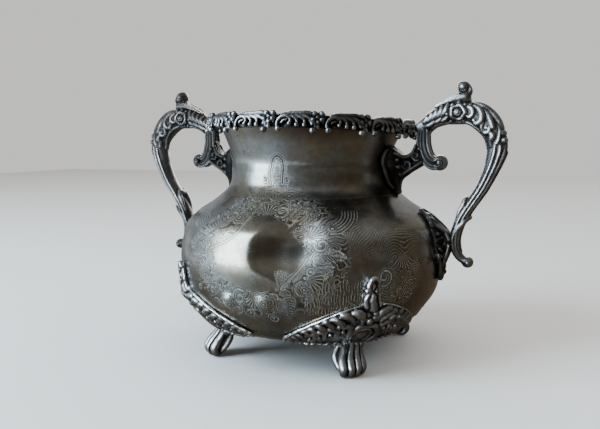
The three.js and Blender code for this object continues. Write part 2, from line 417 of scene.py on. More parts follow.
def rim_border():
    """A ring whose face is covered by flowers, arching scrolls with beaded ends, fronds and leaves."""
    clay = Clay(RIM_LOW - 1.2, RIM_HIGH + 1.8, cell=0.4)
    where, (x, y, z) = clay.whole()
    clay.add(where, Section(RIM_SECTION)(np.hypot(x, y), z))

    def face(along, up, lift):
        turn = np.radians(start) + np.asarray(along) / RIM_FACE
        r = RIM_FACE + 0.14 * (118.5 - np.asarray(up)) + lift
        r = r - 1.5 * smoothstep(up, 121.5, 124.5)
        return np.stack([r * np.cos(turn), r * np.sin(turn), np.asarray(up, float) + 0 * r], -1)

    for motif in range(RIM_MOTIFS):
        start = FIRST_FLOWER + 360 / RIM_MOTIFS * motif
        for along, up, radius in RIM_HOLLOWS:
            clay.hollow(face(along, up, 0.2), radius)
        for rows in RIM_STROKES:
            stroke(clay, face, rows, 0.25, 0.15)
        knobs(clay, face, RIM_BEADS, 0.3, 0.12)
    clay.wear(amount=0.04, size=2.4, seed=3)
    return clay.skin()


# ---- the handles

# The loop's line in the handle's own plane: x, z, thickness in the plane, width across it.
LOOP = [
    (58.6, 116.6, 6.4, 8), (61.0, 118.0, 7.4, 8.6), (65.2, 120.7, 8.8, 9.6), (70.5, 122.9, 10.2, 10.4),
    (77.3, 124.1, 10.8, 11), (83.7, 122.5, 10.8, 11), (89.6, 118.1, 10.4, 10.6), (93.8, 112.7, 9.9, 10),
    (95.1, 106.8, 9.6, 9.6), (93.9, 101, 8.2, 9.4), (92.2, 96, 6.9, 9.2), (88.7, 88.2, 5.9, 8.8),
    (84.7, 81.7, 5.5, 8.6), (80.9, 75.6, 5.3, 8.6), (78, 69.6, 5.1, 8.4), (76.2, 62.7, 5.1, 8.2),
    (76.7, 57.2, 4.9, 7.6), (78.6, 53.6, 4.1, 6.2), (80.9, 51.7, 3.6, 5.4),
]
INNER_SCROLL = [
    (60.2, 116.2, 5.0, 8), (60.0, 112.8, 5.6, 8.4), (60.1, 109, 5.9, 8.6), (60.9, 105, 6.1, 8.6),
    (62.5, 101.6, 6.1, 8.4), (65.1, 99.4, 6.3, 8), (67.6, 99.4, 6.4, 7.6),
]


def swept_bar(clay, stations, per_span=8, soft=0.3):
    """A bar of oval section swept along a line in the XZ plane, and its densely sampled stations."""
    line = through(stations, per_span)
    reach = line[:, 2:].max() / 2 + 1.5
    low = [line[:, 0].min() - reach, -reach, line[:, 1].min() - reach]
    high = [line[:, 0].max() + reach, reach, line[:, 1].max() + reach]
    where, (x, y, z) = clay.window(low, high)
    away = np.full(clay.d[where].shape, FAR, np.float32)
    for a, b in zip(line, line[1:]):
        e = b[:2] - a[:2]
        t = np.clip(((x - a[0]) * e[0] + (z - a[1]) * e[1]) / (e @ e), 0, 1)
        thick, width = (a[k] + t * (b[k] - a[k]) for k in (2, 3))
        flat = np.sqrt((x - a[0] - t * e[0]) ** 2 + (z - a[1] - t * e[1]) ** 2)
        oval = np.sqrt((2 * flat / thick) ** 2 + (2 * y / width) ** 2)
        away = np.minimum(away, (oval - 1) * np.minimum(thick, width) / 2)
    clay.add(where, away, soft)
    return line


def side_of(line, side):
    """Places points of the handle's plane on one flank of a swept bar."""
    def place(x, z, lift):
        x, z = np.atleast_1d(np.asarray(x, float)), np.atleast_1d(np.asarray(z, float))
        gap = np.hypot(x[:, None] - line[:, 0], z[:, None] - line[:, 1])
        nearest = gap.argmin(1)
        off = np.clip(2 * gap.min(1) / line[nearest, 2], 0, 0.96)
        y = line[nearest, 3] / 2 * np.sqrt(1 - off**2)
        return np.squeeze(np.stack([x, side * (y + np.asarray(lift)), z], -1))
    return place


def along_bar(line, across, around, first, last):
    """A line that runs with a swept bar. across is its place in the thickness, around in the width."""
    first, last = int(first * (len(line) - 1)), int(last * (len(line) - 1)) + 1
    centre = line[first:last]
    tangent = np.gradient(line[:, :2], axis=0)[first:last]
    tangent /= np.linalg.norm(tangent, axis=1)[:, None]
    x = centre[:, 0] - tangent[:, 1] * across * centre[:, 2] / 2
    z = centre[:, 1] + tangent[:, 0] * across * centre[:, 2] / 2
    return np.stack([x, around * centre[:, 3] / 2, z], 1)


# Relief on the loop's flanks, in the handle's own plane: x, z, radius.
LOOP_STROKES = [
    # slanting lobes of the leaf that climbs from the rim
    [(61.0, 119.0, .9), (62.4, 120.6, 1.3), (62.2, 122.0, 1.0)],
    [(62.8, 119.6, .9), (64.6, 121.8, 1.4), (64.6, 123.6, 1.0)],
    [(64.8, 120.4, .9), (66.8, 122.8, 1.5), (67.0, 124.9, 1.1)],
    [(67.0, 121.3, .9), (69.2, 123.9, 1.5), (69.4, 126.2, 1.1)],
    [(69.4, 122.2, .9), (71.3, 124.4, 1.4), (72.2, 127.2, 1.1)],
    [(62.4, 117.2, .6), (64.4, 118.2, 1.0), (66.0, 119.6, .7)],
    [(65.4, 118.6, .6), (67.4, 119.4, 1.0), (69.0, 120.8, .7)],
    [(68.6, 119.4, .6), (70.6, 120.2, 1.0), (72.2, 121.6, .7)],
    # the lip along the inside of the arch
    [(62.4, 112.6, .5), (63.8, 115.4, .75), (66.8, 117.8, .8), (70.6, 118.8, .8), (75.0, 118.9, .9),
     (78.3, 119.2, 1.2)],
    [(78.5, 119.2, 1.1), (81.8, 118.6, .85), (84.9, 116.8, .8), (87.8, 113.9, .7), (89.8, 110.6, .6),
     (90.6, 106.6, .5)],
    # scrolls to the right of the rose
    [(82.0, 126.2, .7), (83.6, 125.0, 1.0), (84.0, 122.8, 1.0), (82.6, 121.2, 1.0), (81.4, 121.8, .8)],
    [(84.4, 126.6, .8), (86.8, 124.9, 1.2), (88.2, 122.0, 1.5), (87.6, 119.2, 1.5), (85.6, 118.3, 1.2),
     (84.6, 119.6, .9)],
    [(88.0, 125.4, .7), (90.2, 122.9, 1.1), (92.0, 119.6, 1.25), (93.2, 116.2, 1.0)],
    [(88.9, 118.8, .7), (88.2, 116.4, 1.0), (89.4, 114.2, 1.15), (91.4, 114.2, 1.2), (91.8, 116.0, .9)],
    [(92.0, 114.2, .8), (93.2, 112.4, 1.6), (92.4, 110.2, 1.3), (92.6, 107.6, .8)],
    # the smooth leaf over the outside of the shoulder
    [(84.6, 128.0, .9), (88.4, 126.2, 1.5), (92.2, 123.0, 1.8), (95.2, 119.2, 1.7), (97.0, 116.0, 1.1)],
    [(95.4, 117.4, .5), (96.4, 114.4, .7), (96.0, 111.0, .8), (94.8, 108.4, .6)],
]
LOOP_KNOBS = [
    (74.4, 127.0, 1.1), (77.4, 127.9, 1.2), (80.2, 127.0, 1.15), (82.6, 126.8, 1.0),
    (72.0, 122.9, 1.2), (97.4, 113.6, 1.7), (98.2, 110.4, 1.6), (90.4, 116.0, 1.1), (76.4, 119.4, 1.0),
    (73.6, 119.6, .9), (79.6, 119.6, 1.1),
]
ROSE = (77.1, 123.6)
# The leaves that clasp the lower arm, one tip free inside it and one outside it: x, y, z, radius.
CLASPING_LEAVES = [
    [(76.8, 3.2, 71.0, .5), (78.4, 3.6, 75.4, 1.0), (80.4, 3.4, 79.4, 1.3), (81.3, 2.2, 82.3, 1.0)],
    [(76.4, 3.2, 62.6, .5), (77.6, 4.0, 66.8, 1.0), (80.6, 3.8, 70.8, 1.2), (83.0, 1.8, 73.0, 1.0)],
]


def rose(clay, place, centre, radius):
    """A rose: a low dome cut by a coiled crease, inside a wavy roll of outer petals."""
    turn = np.linspace(0, 2 * math.pi, 31)
    petals = np.cos(5 * turn)
    roll = radius * (0.78 + 0.05 * petals)
    ring = place(centre[0] + roll * np.cos(turn), centre[1] + roll * np.sin(turn), 0.25)
    clay.rod(ring, radius * (0.24 + 0.03 * petals), 0.08)
    wide, tall = 0.48 * radius, 0.46 * radius
    clay.bead(place(*centre, 0.1), (wide, tall, wide), 0.05)
    path = through(spiral(centre, 0.42 * radius, 0.08 * radius, 40, 1.4, 0.32), 3)
    away = np.hypot(path[:, 0] - centre[0], path[:, 1] - centre[1]) / wide
    lift = tall * np.sqrt(np.clip(1 - away**2, 0.05, 1))
    clay.groove(place(path[:, 0], path[:, 1], lift), path[:, 2])


def clasping_leaf(clay, rows):
    """The same little leaf on both flanks of the bar."""
    for side in (-1, 1):
        path = through([(x, side * y, z, r) for x, y, z, r in rows], 8)
        clay.rod(path[:, :3], path[:, 3], 0.4)


def handle_loop():
    """The arch and the fluted arm below it, ending in a small curled foot."""
    low, high = node_box("right_handle_loop")
    clay = Clay(low - [4, 2, 2], high + [1.5, 2, 2], cell=0.35)
    line = swept_bar(clay, LOOP)
    for side in (-1, 1):
        place = side_of(line, side)
        for across, around, thick in ((-0.16, 1.0, .8), (0.36, 0.93, .75), (0.80, 0.62, .6)):
            rail = along_bar(line, across, side * around, 0.44, 0.94)
            share = np.linspace(0, 1, len(rail))
            clay.rod(rail, thick * np.interp(share, [0, .08, .75, 1], [.5, 1, .85, .5]), 0.2)
        for across, around in ((0.10, 1.02), (0.60, 0.82)):
            flute = along_bar(line, across, side * around, 0.43, 0.95)
            share = np.linspace(0, 1, len(flute))
            clay.groove(flute, np.interp(share, [0, .08, .8, 1], [.1, .34, .3, .1]), 0.3)
        for rows in LOOP_STROKES:
            stroke(clay, place, rows, -0.2, 0.2)
        knobs(clay, place, LOOP_KNOBS, -0.35, 0.2)
        rose(clay, place, ROSE, 4.0)
        turn = np.linspace(0, 2 * math.pi, 15)
        ring = np.stack([1.5 * np.cos(turn) + 82.8, 0 * turn + side * 3.3, 1.5 * np.sin(turn) + 50.9], 1)
        clay.groove(ring, 0.4)
        clay.bead((82.8, side * 3.0, 50.9), 1.0, 0.2)
    clay.rod(along_bar(line, 1.0, 0, 0.46, 0.92), 0.6, 0.5)
    clay.bead((82.6, 0, 50.9), (2.9, 3.5, 2.8), 0.6)
    for rows in CLASPING_LEAVES:
        clasping_leaf(clay, rows)
    clay.bead((80.6, 0, 80.8), (1.4, 2.8, 1.9), 1.0)
    clay.bead((82.6, 0, 72.8), (1.6, 2.8, 1.2), 1.0)
    clay.wear(amount=0.035, size=2.6, seed=6)
    return clay.skin()


def inner_scroll():
    """The C scroll inside the arch, hollowed along its flanks, with a balled end."""
    low, high = node_box("right_handle_inner_scroll")
    clay = Clay(low - 2.5, high + [3, 2.5, 4.5], cell=0.3)
    line = swept_bar(clay, INNER_SCROLL)
    clay.bead((68.2, 0, 99.5), (3.9, 4.6, 3.9), 0.4)
    for side in (-1, 1):
        hollow = along_bar(line, 0.0, side * 1.12, 0.1, 1.0)
        clay.groove(hollow, np.linspace(0.9, 1.35, len(hollow)), 0.2)
        curl = spiral((68.2, 99.5), 3.0, 1.2, -170, 1.0, 0.75)
        clay.groove(np.insert(curl[:, :2], 1, side * 4.2, 1), curl[:, 2])
        clay.bead((68.4, side * 3.8, 99.6), (1.25, 1.1, 1.25), 0.1)
        for across in (-0.84, 0.84):
            clay.rod(along_bar(line, across, side * 0.7, 0.05, 0.95), 0.75, 0.2)
    clay.wear(amount=0.03, size=2.6, seed=7)
    return clay.skin()


THUMB_LEAF = [
    (66.0, 126.2, 1.2, 6), (69.6, 127.9, 2.0, 7), (73.2, 129.3, 2.8, 7.6), (77.0, 130.6, 3.6, 7.8),
    (80.4, 131.2, 3.4, 7.2),
]
THUMB_OUTLINE = [
    (74.4, 130.2), (75.9, 131.6), (76.5, 133.2), (76.1, 135.0), (75.9, 136.6), (76.7, 138.0),
    (78.4, 138.6), (80.7, 137.9), (82.5, 135.8), (83.1, 133.4), (82.2, 131.2), (82.4, 128.6),
    (76.6, 128.0),
]
THUMB_CREASE = [
    (76.6, 133.9, .5), (78.4, 132.6, .6), (80.9, 133.4, .6), (81.7, 135.4, .5), (80.8, 137.2, .4),
]


def rounded_slab(clay, outline, half_width, edge):
    """A slab with rounded edges in the handle's plane; half_width is a function of x and z."""
    where, (x, y, z) = clay.whole()
    flat = Section(through(outline + outline[:1], 5)[:-1])(x, z)
    return where, limit(flat, np.abs(y) - half_width(x, z), edge)


def thumb_scroll():
    """The finial: a leaf that lies along the loop, rises, and curls over into a fat roll."""
    high = node_box("right_handle_thumb_scroll")[1]
    clay = Clay([63.5, -6.5, 123.5], high + 2, cell=0.28)
    clay.add(*rounded_slab(clay, THUMB_OUTLINE, lambda x, z: 4.0 - 0.06 * (z - 130), edge=3.4))
    line = swept_bar(clay, THUMB_LEAF, per_span=6, soft=1.0)
    clay.bead((79.0, 0, 135.6), (2.7, 4.5, 2.7), 0.5)
    for side in (-1, 1):
        clay.rod(along_bar(line, 0.7, side * 0.8, 0.05, 0.8), 0.6, 0.3)
        crease = through(THUMB_CREASE, 6)
        clay.groove(np.insert(crease[:, :2], 1, side * 3.1, 1), crease[:, 2] + 0.15)
    clay.wear(amount=0.025, size=2.6, seed=8)
    return clay.skin()


BRACKET_OUTLINE = [
    (39, 107.0), (43.6, 107.3), (46.1, 106.4), (48.2, 104.6), (50.6, 103.3), (52.8, 103.8),
    (54.8, 105.4), (56.2, 107.8), (57.0, 110.6), (58.6, 110.2), (59.4, 106.4), (61.0, 103.2),
    (61.6, 100.2), (60.2, 98.1), (55.4, 95.2), (52.4, 93.0), (50.4, 91.6), (49.2, 89.6),
    (48.9, 86.4), (48.4, 83.6), (39, 82.6),
]
PLATE_OUTLINE = [
    (54, 74.8), (62.6, 74.6), (64.6, 72.8), (67.9, 69.8), (70.9, 67.3), (73.4, 65.6), (74.6, 62.5),
    (74.8, 57.5), (74.0, 54.2), (72.7, 51.0), (71.5, 47.8), (71.0, 45.6), (71.0, 43.2), (69.6, 41.8),
    (58, 41.8),
]


def saddle_piece(node, outline, half_width, relief, foot_lift, seed):
    """A bracket cut to sit on the bowl. relief works one flank and one wing of its foot."""
    low, high = node_box(node)
    clay = Clay(low - [1, 2.2, 2.2], high + [3.5, 2.2, 2.2], cell=0.35)
    clay.add(*rounded_slab(clay, outline, half_width, edge=2.4))
    for side in (-1, 1):
        def flank(x, z, lift):
            x, z = np.asarray(x, float), np.asarray(z, float)
            return np.stack([x, side * (half_width(x, z) + lift - 0.4), z], -1)

        def foot(azimuth, z, lift):
            return on_bowl(side * np.asarray(azimuth), z, lift + foot_lift)

        relief(clay, flank, foot)
    clay.wear(amount=0.05, size=2.4, seed=seed)
    where, (x, y, z) = clay.whole()
    clay.cut(where, bowl_section(np.hypot(x, y), z) - 0.02, 0.1)
    return clay.skin()


# Relief on the neck bracket: on the foot in azimuth, height, radius; on the flank in x, z, radius.
NECK_FOOT_EDGE = [
    (1.5, 84.2, .8), (5, 87.6, .9), (8.6, 92.6, 1.0), (11.2, 98, 1.05), (12.2, 103, 1.1),
    (10.8, 106.4, 1.1), (7, 107.2, 1.0), (2, 107.4, .9),
]
NECK_FLANK_STROKES = [
    ([(47.0, 104.4, .8), (49.8, 102.4, 1.0), (53.0, 102.6, 1.1), (55.4, 104.6, .95), (56.8, 108.0, .8)],
     0.2, 0.15),
    ([(49.6, 93.0, .8), (53.0, 95.4, 1.0), (57.0, 98.0, 1.0), (59.8, 99.8, .9)], 0.2, 0.15),
    (spiral((52.6, 98.6), 2.6, 0.6, 200, 1.2, 0.95), 0.3, 0.12),
    (spiral((57.0, 102.8), 2.3, 0.5, -60, -1.1, 0.85), 0.3, 0.12),
]
NECK_FLANK_KNOBS = [(48.6, 97.4, 1.5), (48.2, 101.0, 1.2), (49.4, 93.8, 1.0), (58.6, 106.4, 1.0)]


def neck_bracket():
    """The bracket on the neck: a leaf-shaped foot with ribs, and an arm of scrolls out to the handle."""
    def half_width(x, z):
        foot = 1.8 + 6.6 * smoothstep(z, 83, 101)
        arm = smoothstep(x, 44, 53)
        return foot * (1 - arm) + 3.9 * arm

    def relief(clay, flank, foot):
        stroke(clay, foot, NECK_FOOT_EDGE, 0.4, 0.15)
        for start in (87.5, 90.6, 93.8, 97.2, 100.8):
            wide = 0.34 * (start - 83)
            rib = [(1.0 + 0.3 * wide, start - 1.8, .7), (2.2 + 0.75 * wide, start + 0.4, 1.05),
                   (2.6 + wide, start + 3.0, .7)]
            stroke(clay, foot, rib, 0.9, 0.12)
        knobs(clay, foot, [(8.8, 103.6, 1.4), (6.0, 104.8, 1.1), (3.4, 105.0, .9)], 0.9, 0.12)
        for rows, lift, soft in NECK_FLANK_STROKES:
            stroke(clay, flank, rows, lift, soft)
        knobs(clay, flank, NECK_FLANK_KNOBS, 0.2, 0.12)
        clay.hollow(flank(50.6, 99.8, 0.8), (1.2, 1.2, 1.4))
        clay.hollow(flank(54.8, 100.6, 0.6), (0.9, 1.0, 0.9))

    return saddle_piece("right_handle_neck_bracket", BRACKET_OUTLINE, half_width, relief, 1.2, 9)


# Relief on the body plate, in the same terms.
PLATE_FOOT_EDGE = [
    (1.5, 75.0, .9), (5.5, 71.2, .9), (9.4, 66.6, 1.0), (11.2, 62.2, 1.1), (9.8, 57.4, 1.0),
    (6.8, 52.4, .95), (4.4, 47.6, .9), (2.6, 42.9, 1.0), (0, 42.0, 1.0),
]
PLATE_FLANK_STROKES = [
    ([(64.0, 72.4, .8), (68.0, 68.8, 1.0), (71.8, 65.6, 1.0), (73.8, 61.8, .9)], 0.1, 0.15),
    ([(70.0, 47.0, .8), (71.6, 51.4, 1.0), (73.0, 55.4, 1.0), (73.8, 59, .9)], 0.1, 0.15),
    (spiral((70.6, 60.6), 2.7, 0.6, 90, 1.2, 0.95), 0.3, 0.12),
]
PLATE_FLANK_KNOBS = [(69.4, 54.4, 1.3), (68.8, 65.2, 1.2), (70.4, 44.8, 1.6), (69.4, 50.2, 1.0)]


def body_plate():
    """The plate where the arm meets the belly: ribs on its foot, a curl and knobs on its flanks."""
    def half_width(x, z):
        upper = 3.0 + 9.4 * fade(z, 62, 75)
        lower = 2.2 + 10.2 * smoothstep(z, 41, 62)
        foot = np.where(z > 62, upper, lower)
        arm = smoothstep(x, 66, 72)
        return foot * (1 - arm) + 3.7 * arm

    def relief(clay, flank, foot):
        stroke(clay, foot, PLATE_FOOT_EDGE, 0.4, 0.15)
        for start in (69.6, 66.2, 62.8, 59.2, 55.6, 52.0, 48.4):
            wide = 5.4 - 0.022 * (start - 62) ** 2
            rib = [(0.8, start - 2.6, .7), (0.5 * wide, start - 0.6, 1.1),
                   (wide + 1.2, start + 2.0, .75)]
            stroke(clay, foot, rib, 0.8, 0.12)
        for rows, lift, soft in PLATE_FLANK_STROKES:
            stroke(clay, flank, rows, lift, soft)
        knobs(clay, flank, PLATE_FLANK_KNOBS, 0.2, 0.12)
        clay.hollow(flank(71.4, 56.8, 0.6), (1.0, 1.0, 1.3))

    return saddle_piece("right_handle_body_plate", PLATE_OUTLINE, half_width, relief, 1.1, 10)


# ---- the feet

# An apron's edge, in degrees from its middle and height.
APRON_TOP = [
    (-36.8, 21.0), (-32, 24.0), (-28.1, 26.8), (-21.5, 30.9), (-15.4, 34.4), (-9.4, 37.0), (-5.2, 38.2),
]
APRON_LEAF = [
    (-3.6, 39.2), (-3.2, 42.6), (-2.7, 45.2), (-3.0, 47.8), (-2.2, 50.0), (-0.4, 51.2), (1.4, 50.4),
    (2.2, 48.0), (2.3, 44.3), (3.3, 39.6),
]
# The bottom edge from the middle out.
APRON_HEM = [(0, 15.2), (8, 15.4), (16, 15.8), (22, 16.3), (27, 17.4), (32, 18.4), (36.8, 20.0)]
# Millimetres in a degree, where the outline is laid out flat.
APRON_SPREAD = 1.08
# How far out each lobe of a wing sits, in degrees: along the top edge, between the rows, at the hem.
CREST_LOBES = (6.2, 10.0, 13.7, 17.2, 20.5, 23.6, 26.4, 29.0, 31.4, 33.6)
CURLED_LOBES = (9.6, 15.0, 19.8, 24.0)
HEM_LOBES = (9.0, 12.8, 16.4, 19.8, 23.0, 26.0, 28.8, 31.4, 33.8)
# Each kind of lobe, in its own size: across, up, radius, and for the curl distance out, angle, radius.
CREST_SHAPE = [(1.6, -2.0, .4), (0.7, -0.8, .85), (-0.8, -1.2, 1.1), (-1.9, -2.8, .75), (-2.2, -4.6, .4)]
CURL_SHAPE = [(2.6, -0.6, .4), (2.3, 0.9, .7), (2.0, 2.3, .85), (1.6, 3.9, .8), (1.0, 5.4, .6)]
HEM_SHAPE = [(-1.5, 2.7, .5), (-0.6, 1.0, 1), (0.9, 1.4, .8)]
# The curved band and its crease that run from the middle down to the hem: azimuth, height, radius.
APRON_BAND = [(0.0, 28.2, 1.1), (3.6, 27.8, 1.35), (6.6, 25.2, 1.4), (7.8, 21.4, 1.25), (6.4, 18.4, 1.0)]
APRON_INNER_BAND = [(0.2, 25.6, .5), (2.9, 25.0, .65), (4.9, 22.6, .7), (4.9, 19.8, .6), (3.6, 18.0, .5)]
# The upright leaf: a fat stem, a knuckled rib on its left, a fold on its right and a rolled tip.
# Each has its rows of azimuth, height and radius, then its lift and how softly it joins.
LEAF_STROKES = [
    ([(0.3, 37.0, 2.3), (-0.5, 41.0, 2.2), (-0.1, 45.0, 1.9), (-0.5, 48.4, 1.7), (0.3, 50.0, 1.3)],
     0.2, 0.2),
    ([(-2.6, 38.0, 1.3), (-3.0, 41.0, 1.15), (-1.8, 43.8, 1.2), (-2.3, 46.8, 1.3), (-1.2, 49.4, 1.2)],
     0.6, 0.25),
    ([(3.4, 37.6, .8), (2.2, 41.6, .8), (2.0, 44.6, .7), (1.4, 47.6, .7), (1.1, 49.4, .7)], 0.5, 0.25),
    ([(-1.4, 49.6, 1.2), (0.0, 50.4, 1.3), (1.2, 49.2, 1.1)], 0.8, 0.2),
]
LEAF_KNOBS = [(-2.8, 44.9, 1.1), (2.2, 43.0, .9), (-2.9, 41.6, .9)]
LEAF_CREASE = [(0.4, 40.0, .35), (0.9, 42.6, .55), (-0.5, 44.8, .6), (0.5, 46.8, .6), (-0.2, 48.4, .35)]
ROSETTE_KNOBS = [(0, 30.6, 1.8), (-1.7, 34.0, 1.5), (1.8, 34.4, 1.5), (0.1, 37.2, 1.6)]


def mirrored(rows):
    return [(-across, up) for across, up in rows]


def swell(z):
    """0 at the top of an apron and 1 at its hem, where the casting is thicker."""
    return smoothstep(-z, -30, -16)


def foot_apron():
    """Leaf work cast as a skin: an edge bead, lobes that shrink to the tips, a leaf in the middle."""
    low, high = node_box("front_right_foot_apron")
    clay = Clay([40, -45, low[2] - 2.5], [BELLY + 5, 45, high[2] + 1.8], cell=0.34)
    top = APRON_TOP + APRON_LEAF + mirrored(APRON_TOP[::-1])
    edge = top + APRON_HEM[::-1] + mirrored(APRON_HEM[1:])
    outline = Section([(a * APRON_SPREAD, z) for a, z in edge])
    where, (x, y, z) = clay.whole()
    off = bowl_section(np.hypot(x, y), z)
    thick = 0.9 + 0.7 * swell(z)
    skin = np.abs(off - thick / 2) - thick / 2
    clay.add(where, limit(skin, outline(np.degrees(np.arctan2(y, x)) * APRON_SPREAD, z), 0.8))

    def place(azimuth, up, lift):
        up = np.asarray(up, float)
        return on_bowl(azimuth, up, lift + 0.8 + 0.8 * swell(up))

    rng = np.random.default_rng(11)

    def shaken(rows):
        return [
            (a + rng.uniform(-.35, .35), z + rng.uniform(-.3, .3), r * rng.uniform(.88, 1.12))
            for a, z, r in rows
        ]

    for side in (-1, 1):
        def wing(azimuth, up, lift):
            return place(side * np.asarray(azimuth), up, lift)

        for across in CREST_LOBES:
            top = np.interp(-across, *np.array(APRON_TOP).T) - 1.0
            size = 0.078 * (top - 16.0) + 0.28
            lobe = [(across + u * size, top + v * size, r * size) for u, v, r in CREST_SHAPE]
            stroke(clay, wing, shaken(lobe), 0.3, 0.08)
            pit = wing(across + 1.9 * size, top - 0.5 * size, 1.0)
            clay.hollow(pit, (.55 * size, .55 * size, .7 * size))
        for across in CURLED_LOBES:
            top = np.interp(-across, *np.array(APRON_TOP).T) - 1.0
            middle = 0.46 * top + 0.54 * 16.2
            size = 0.088 * (top - 16.0) + 0.1
            curl = [
                (across + size * out * math.cos(turn), middle + size * out * math.sin(turn), size * r)
                for out, turn, r in CURL_SHAPE
            ]
            stroke(clay, wing, shaken(curl), 0.35, 0.1)
            clay.hollow(wing(across, middle, 0.9), .8 * size)
            knobs(clay, wing, [(across + 0.2, middle - 0.1, .62 * size)], 0.5, 0.1)
        for across in HEM_LOBES:
            size = 1.25 - 0.018 * across
            hem = np.interp(across, *np.array(APRON_HEM).T)
            lobe = [(across + u * size, hem + v * size, r * size) for u, v, r in HEM_SHAPE]
            stroke(clay, wing, shaken(lobe), 0.15, 0.1)
        for lift, drop in ((0.35, 0.3), (0.1, 1.35)):
            stroke(clay, wing, [(-a, z - drop, .52) for a, z in APRON_TOP], lift, 0.1)
        stroke(clay, wing, APRON_BAND, 0.7, 0.12)
        stroke(clay, wing, APRON_INNER_BAND, 0.4, 0.1)
    clay.hollow(place(0.2, 21.6, 1.2), (2.4, 3.2, 2.6))
    knobs(clay, place, ROSETTE_KNOBS, 0.4, 0.12)
    for rows, lift, soft in LEAF_STROKES:
        stroke(clay, place, rows, lift, soft)
    knobs(clay, place, LEAF_KNOBS, 0.6, 0.2)
    crease = through(LEAF_CREASE, 6)
    clay.groove(place(crease[:, 0], crease[:, 1], 1.9), crease[:, 2])
    clay.wear(amount=0.08, size=1.7, seed=4)
    return clay.skin()


# A toe of the paw: distance out from the bowl's axis, share of how far across it is, height, radius.
PAW_TOE = [
    (50.4, .80, 16.2, 1.3), (51.6, .84, 13.4, 1.4), (53.4, .92, 10.4, 1.6), (55.4, 1.0, 7.4, 1.95),
    (56.6, 1.0, 4.9, 2.1), (55.9, .92, 2.7, 1.85), (54.2, .82, 1.4, 1.3),
]
# Each toe: how far across, how far out from the middle two, size.
PAW_TOES = [(1.75, 0.0, 1.0), (-1.75, 0.1, 1.03), (5.0, -1.3, .98), (-5.0, -1.2, 1.0)]
PAW_HEEL = [
    (46.8, 5.0, 15.4, 1.3), (46.8, 5.8, 11.6, 1.5), (48.0, 5.9, 8.0, 1.6), (50.0, 5.0, 4.6, 1.5),
    (51.4, 3.8, 2.4, 1.2),
]
CREASE_RADII = (.3, .5, .62, .66, .66, .55, .4)
PAW_CREASES = [(0.0, 1.2, 1.0), (3.4, 0.6, .95), (-3.4, 0.7, .95)]
PAW_LEAN = 4.9
PAW_CURL = 2.2


def lean(points):
    """Leans a paw's points to one side, the more the lower, and brings the toes part of the way back."""
    points = np.array(points, float)
    points[:, 1] -= PAW_LEAN * (1 - np.clip(points[:, 2] / PAW_TOP, 0, 1)) ** 0.8
    points[:, 1] += PAW_CURL * (1 - np.clip(points[:, 2] / 9, 0, 1)) ** 1.3
    return points


def foot_paw():
    """A fluted paw that kicks outward: four round toes with deep creases between them, on a heel."""
    clay = Clay([41, -13, -1.5], [61, 11, PAW_TOP + 3.5], cell=0.26)
    clay.bead((48.8, 0.2, 13.8), (3.6, 5.8, 3.8), 0.5)
    clay.bead(lean([(50.2, 0, 8.8)])[0], (4.4, 5.4, 5.6), 1.2)
    clay.bead(lean([(52.2, 0, 4.6)])[0], (3.4, 4.4, 4.2), 1.0)
    for across, out, size in PAW_TOES:
        path = through([(x + out, k * across, z, r * size) for x, k, z, r in PAW_TOE], 7)
        clay.rod(lean(path[:, :3]), path[:, 3], 0.08)
    for side in (-1, 1):
        path = through([(x, side * y, z, r) for x, y, z, r in PAW_HEEL], 6)
        clay.rod(lean(path[:, :3]), path[:, 3], 0.1)
    for across, out, thick in PAW_CREASES:
        rows = [(x + out, k * across, z, r * thick) for (x, k, z, _), r in zip(PAW_TOE, CREASE_RADII)]
        path = through(rows, 6)
        clay.groove(lean(path[:, :3]), path[:, 3], 0.15)
    clay.wear(amount=0.035, size=2.4, seed=5)
    where, (x, y, z) = clay.whole()
    clay.cut(where, z + 0 * x + 0 * y, 0.1)
    return clay.skin()


# ---- engraving

# Millimetres between engraved lines: in the figures, and in the bands that follow a curve.
ENGRAVED_PITCH = 1.3
CLOSE_PITCH = 0.85


class Etching:
    """Engraving on a grid of azimuths and distances up the bowl's curve.

    phase counts engraved lines: each turn from one whole number to the next holds one line. ink says
    how strongly it is cut.
    """

    def __init__(self, azimuths, arcs):
        self.azimuths = np.asarray(azimuths)
        self.arcs = np.asarray(arcs)
        self.scale = np.radians(1) * radius_along(self.arcs)
        self.phase = np.full((len(self.arcs), len(self.azimuths)), 0.5)
        self.ink = np.zeros(self.phase.shape)

    def window(self, azimuth, arc, reach):
        """The part of the grid round a spot, and millimetres across and up from that spot."""
        rows = slice(*np.searchsorted(self.arcs, [arc - reach, arc + reach]))
        wide = reach / float(np.interp(arc, self.arcs, self.scale))
        cols = slice(*np.searchsorted(self.azimuths, [azimuth - wide, azimuth + wide]))
        across = (self.azimuths[None, cols] - azimuth) * self.scale[rows, None]
        up = self.arcs[rows, None] - arc + 0 * across
        return (rows, cols), across, up

    def stamp(self, where, phase, ink):
        over = ink > self.ink[where]
        self.phase[where] = np.where(over, phase, self.phase[where])
        self.ink[where] = np.where(over, ink, self.ink[where])


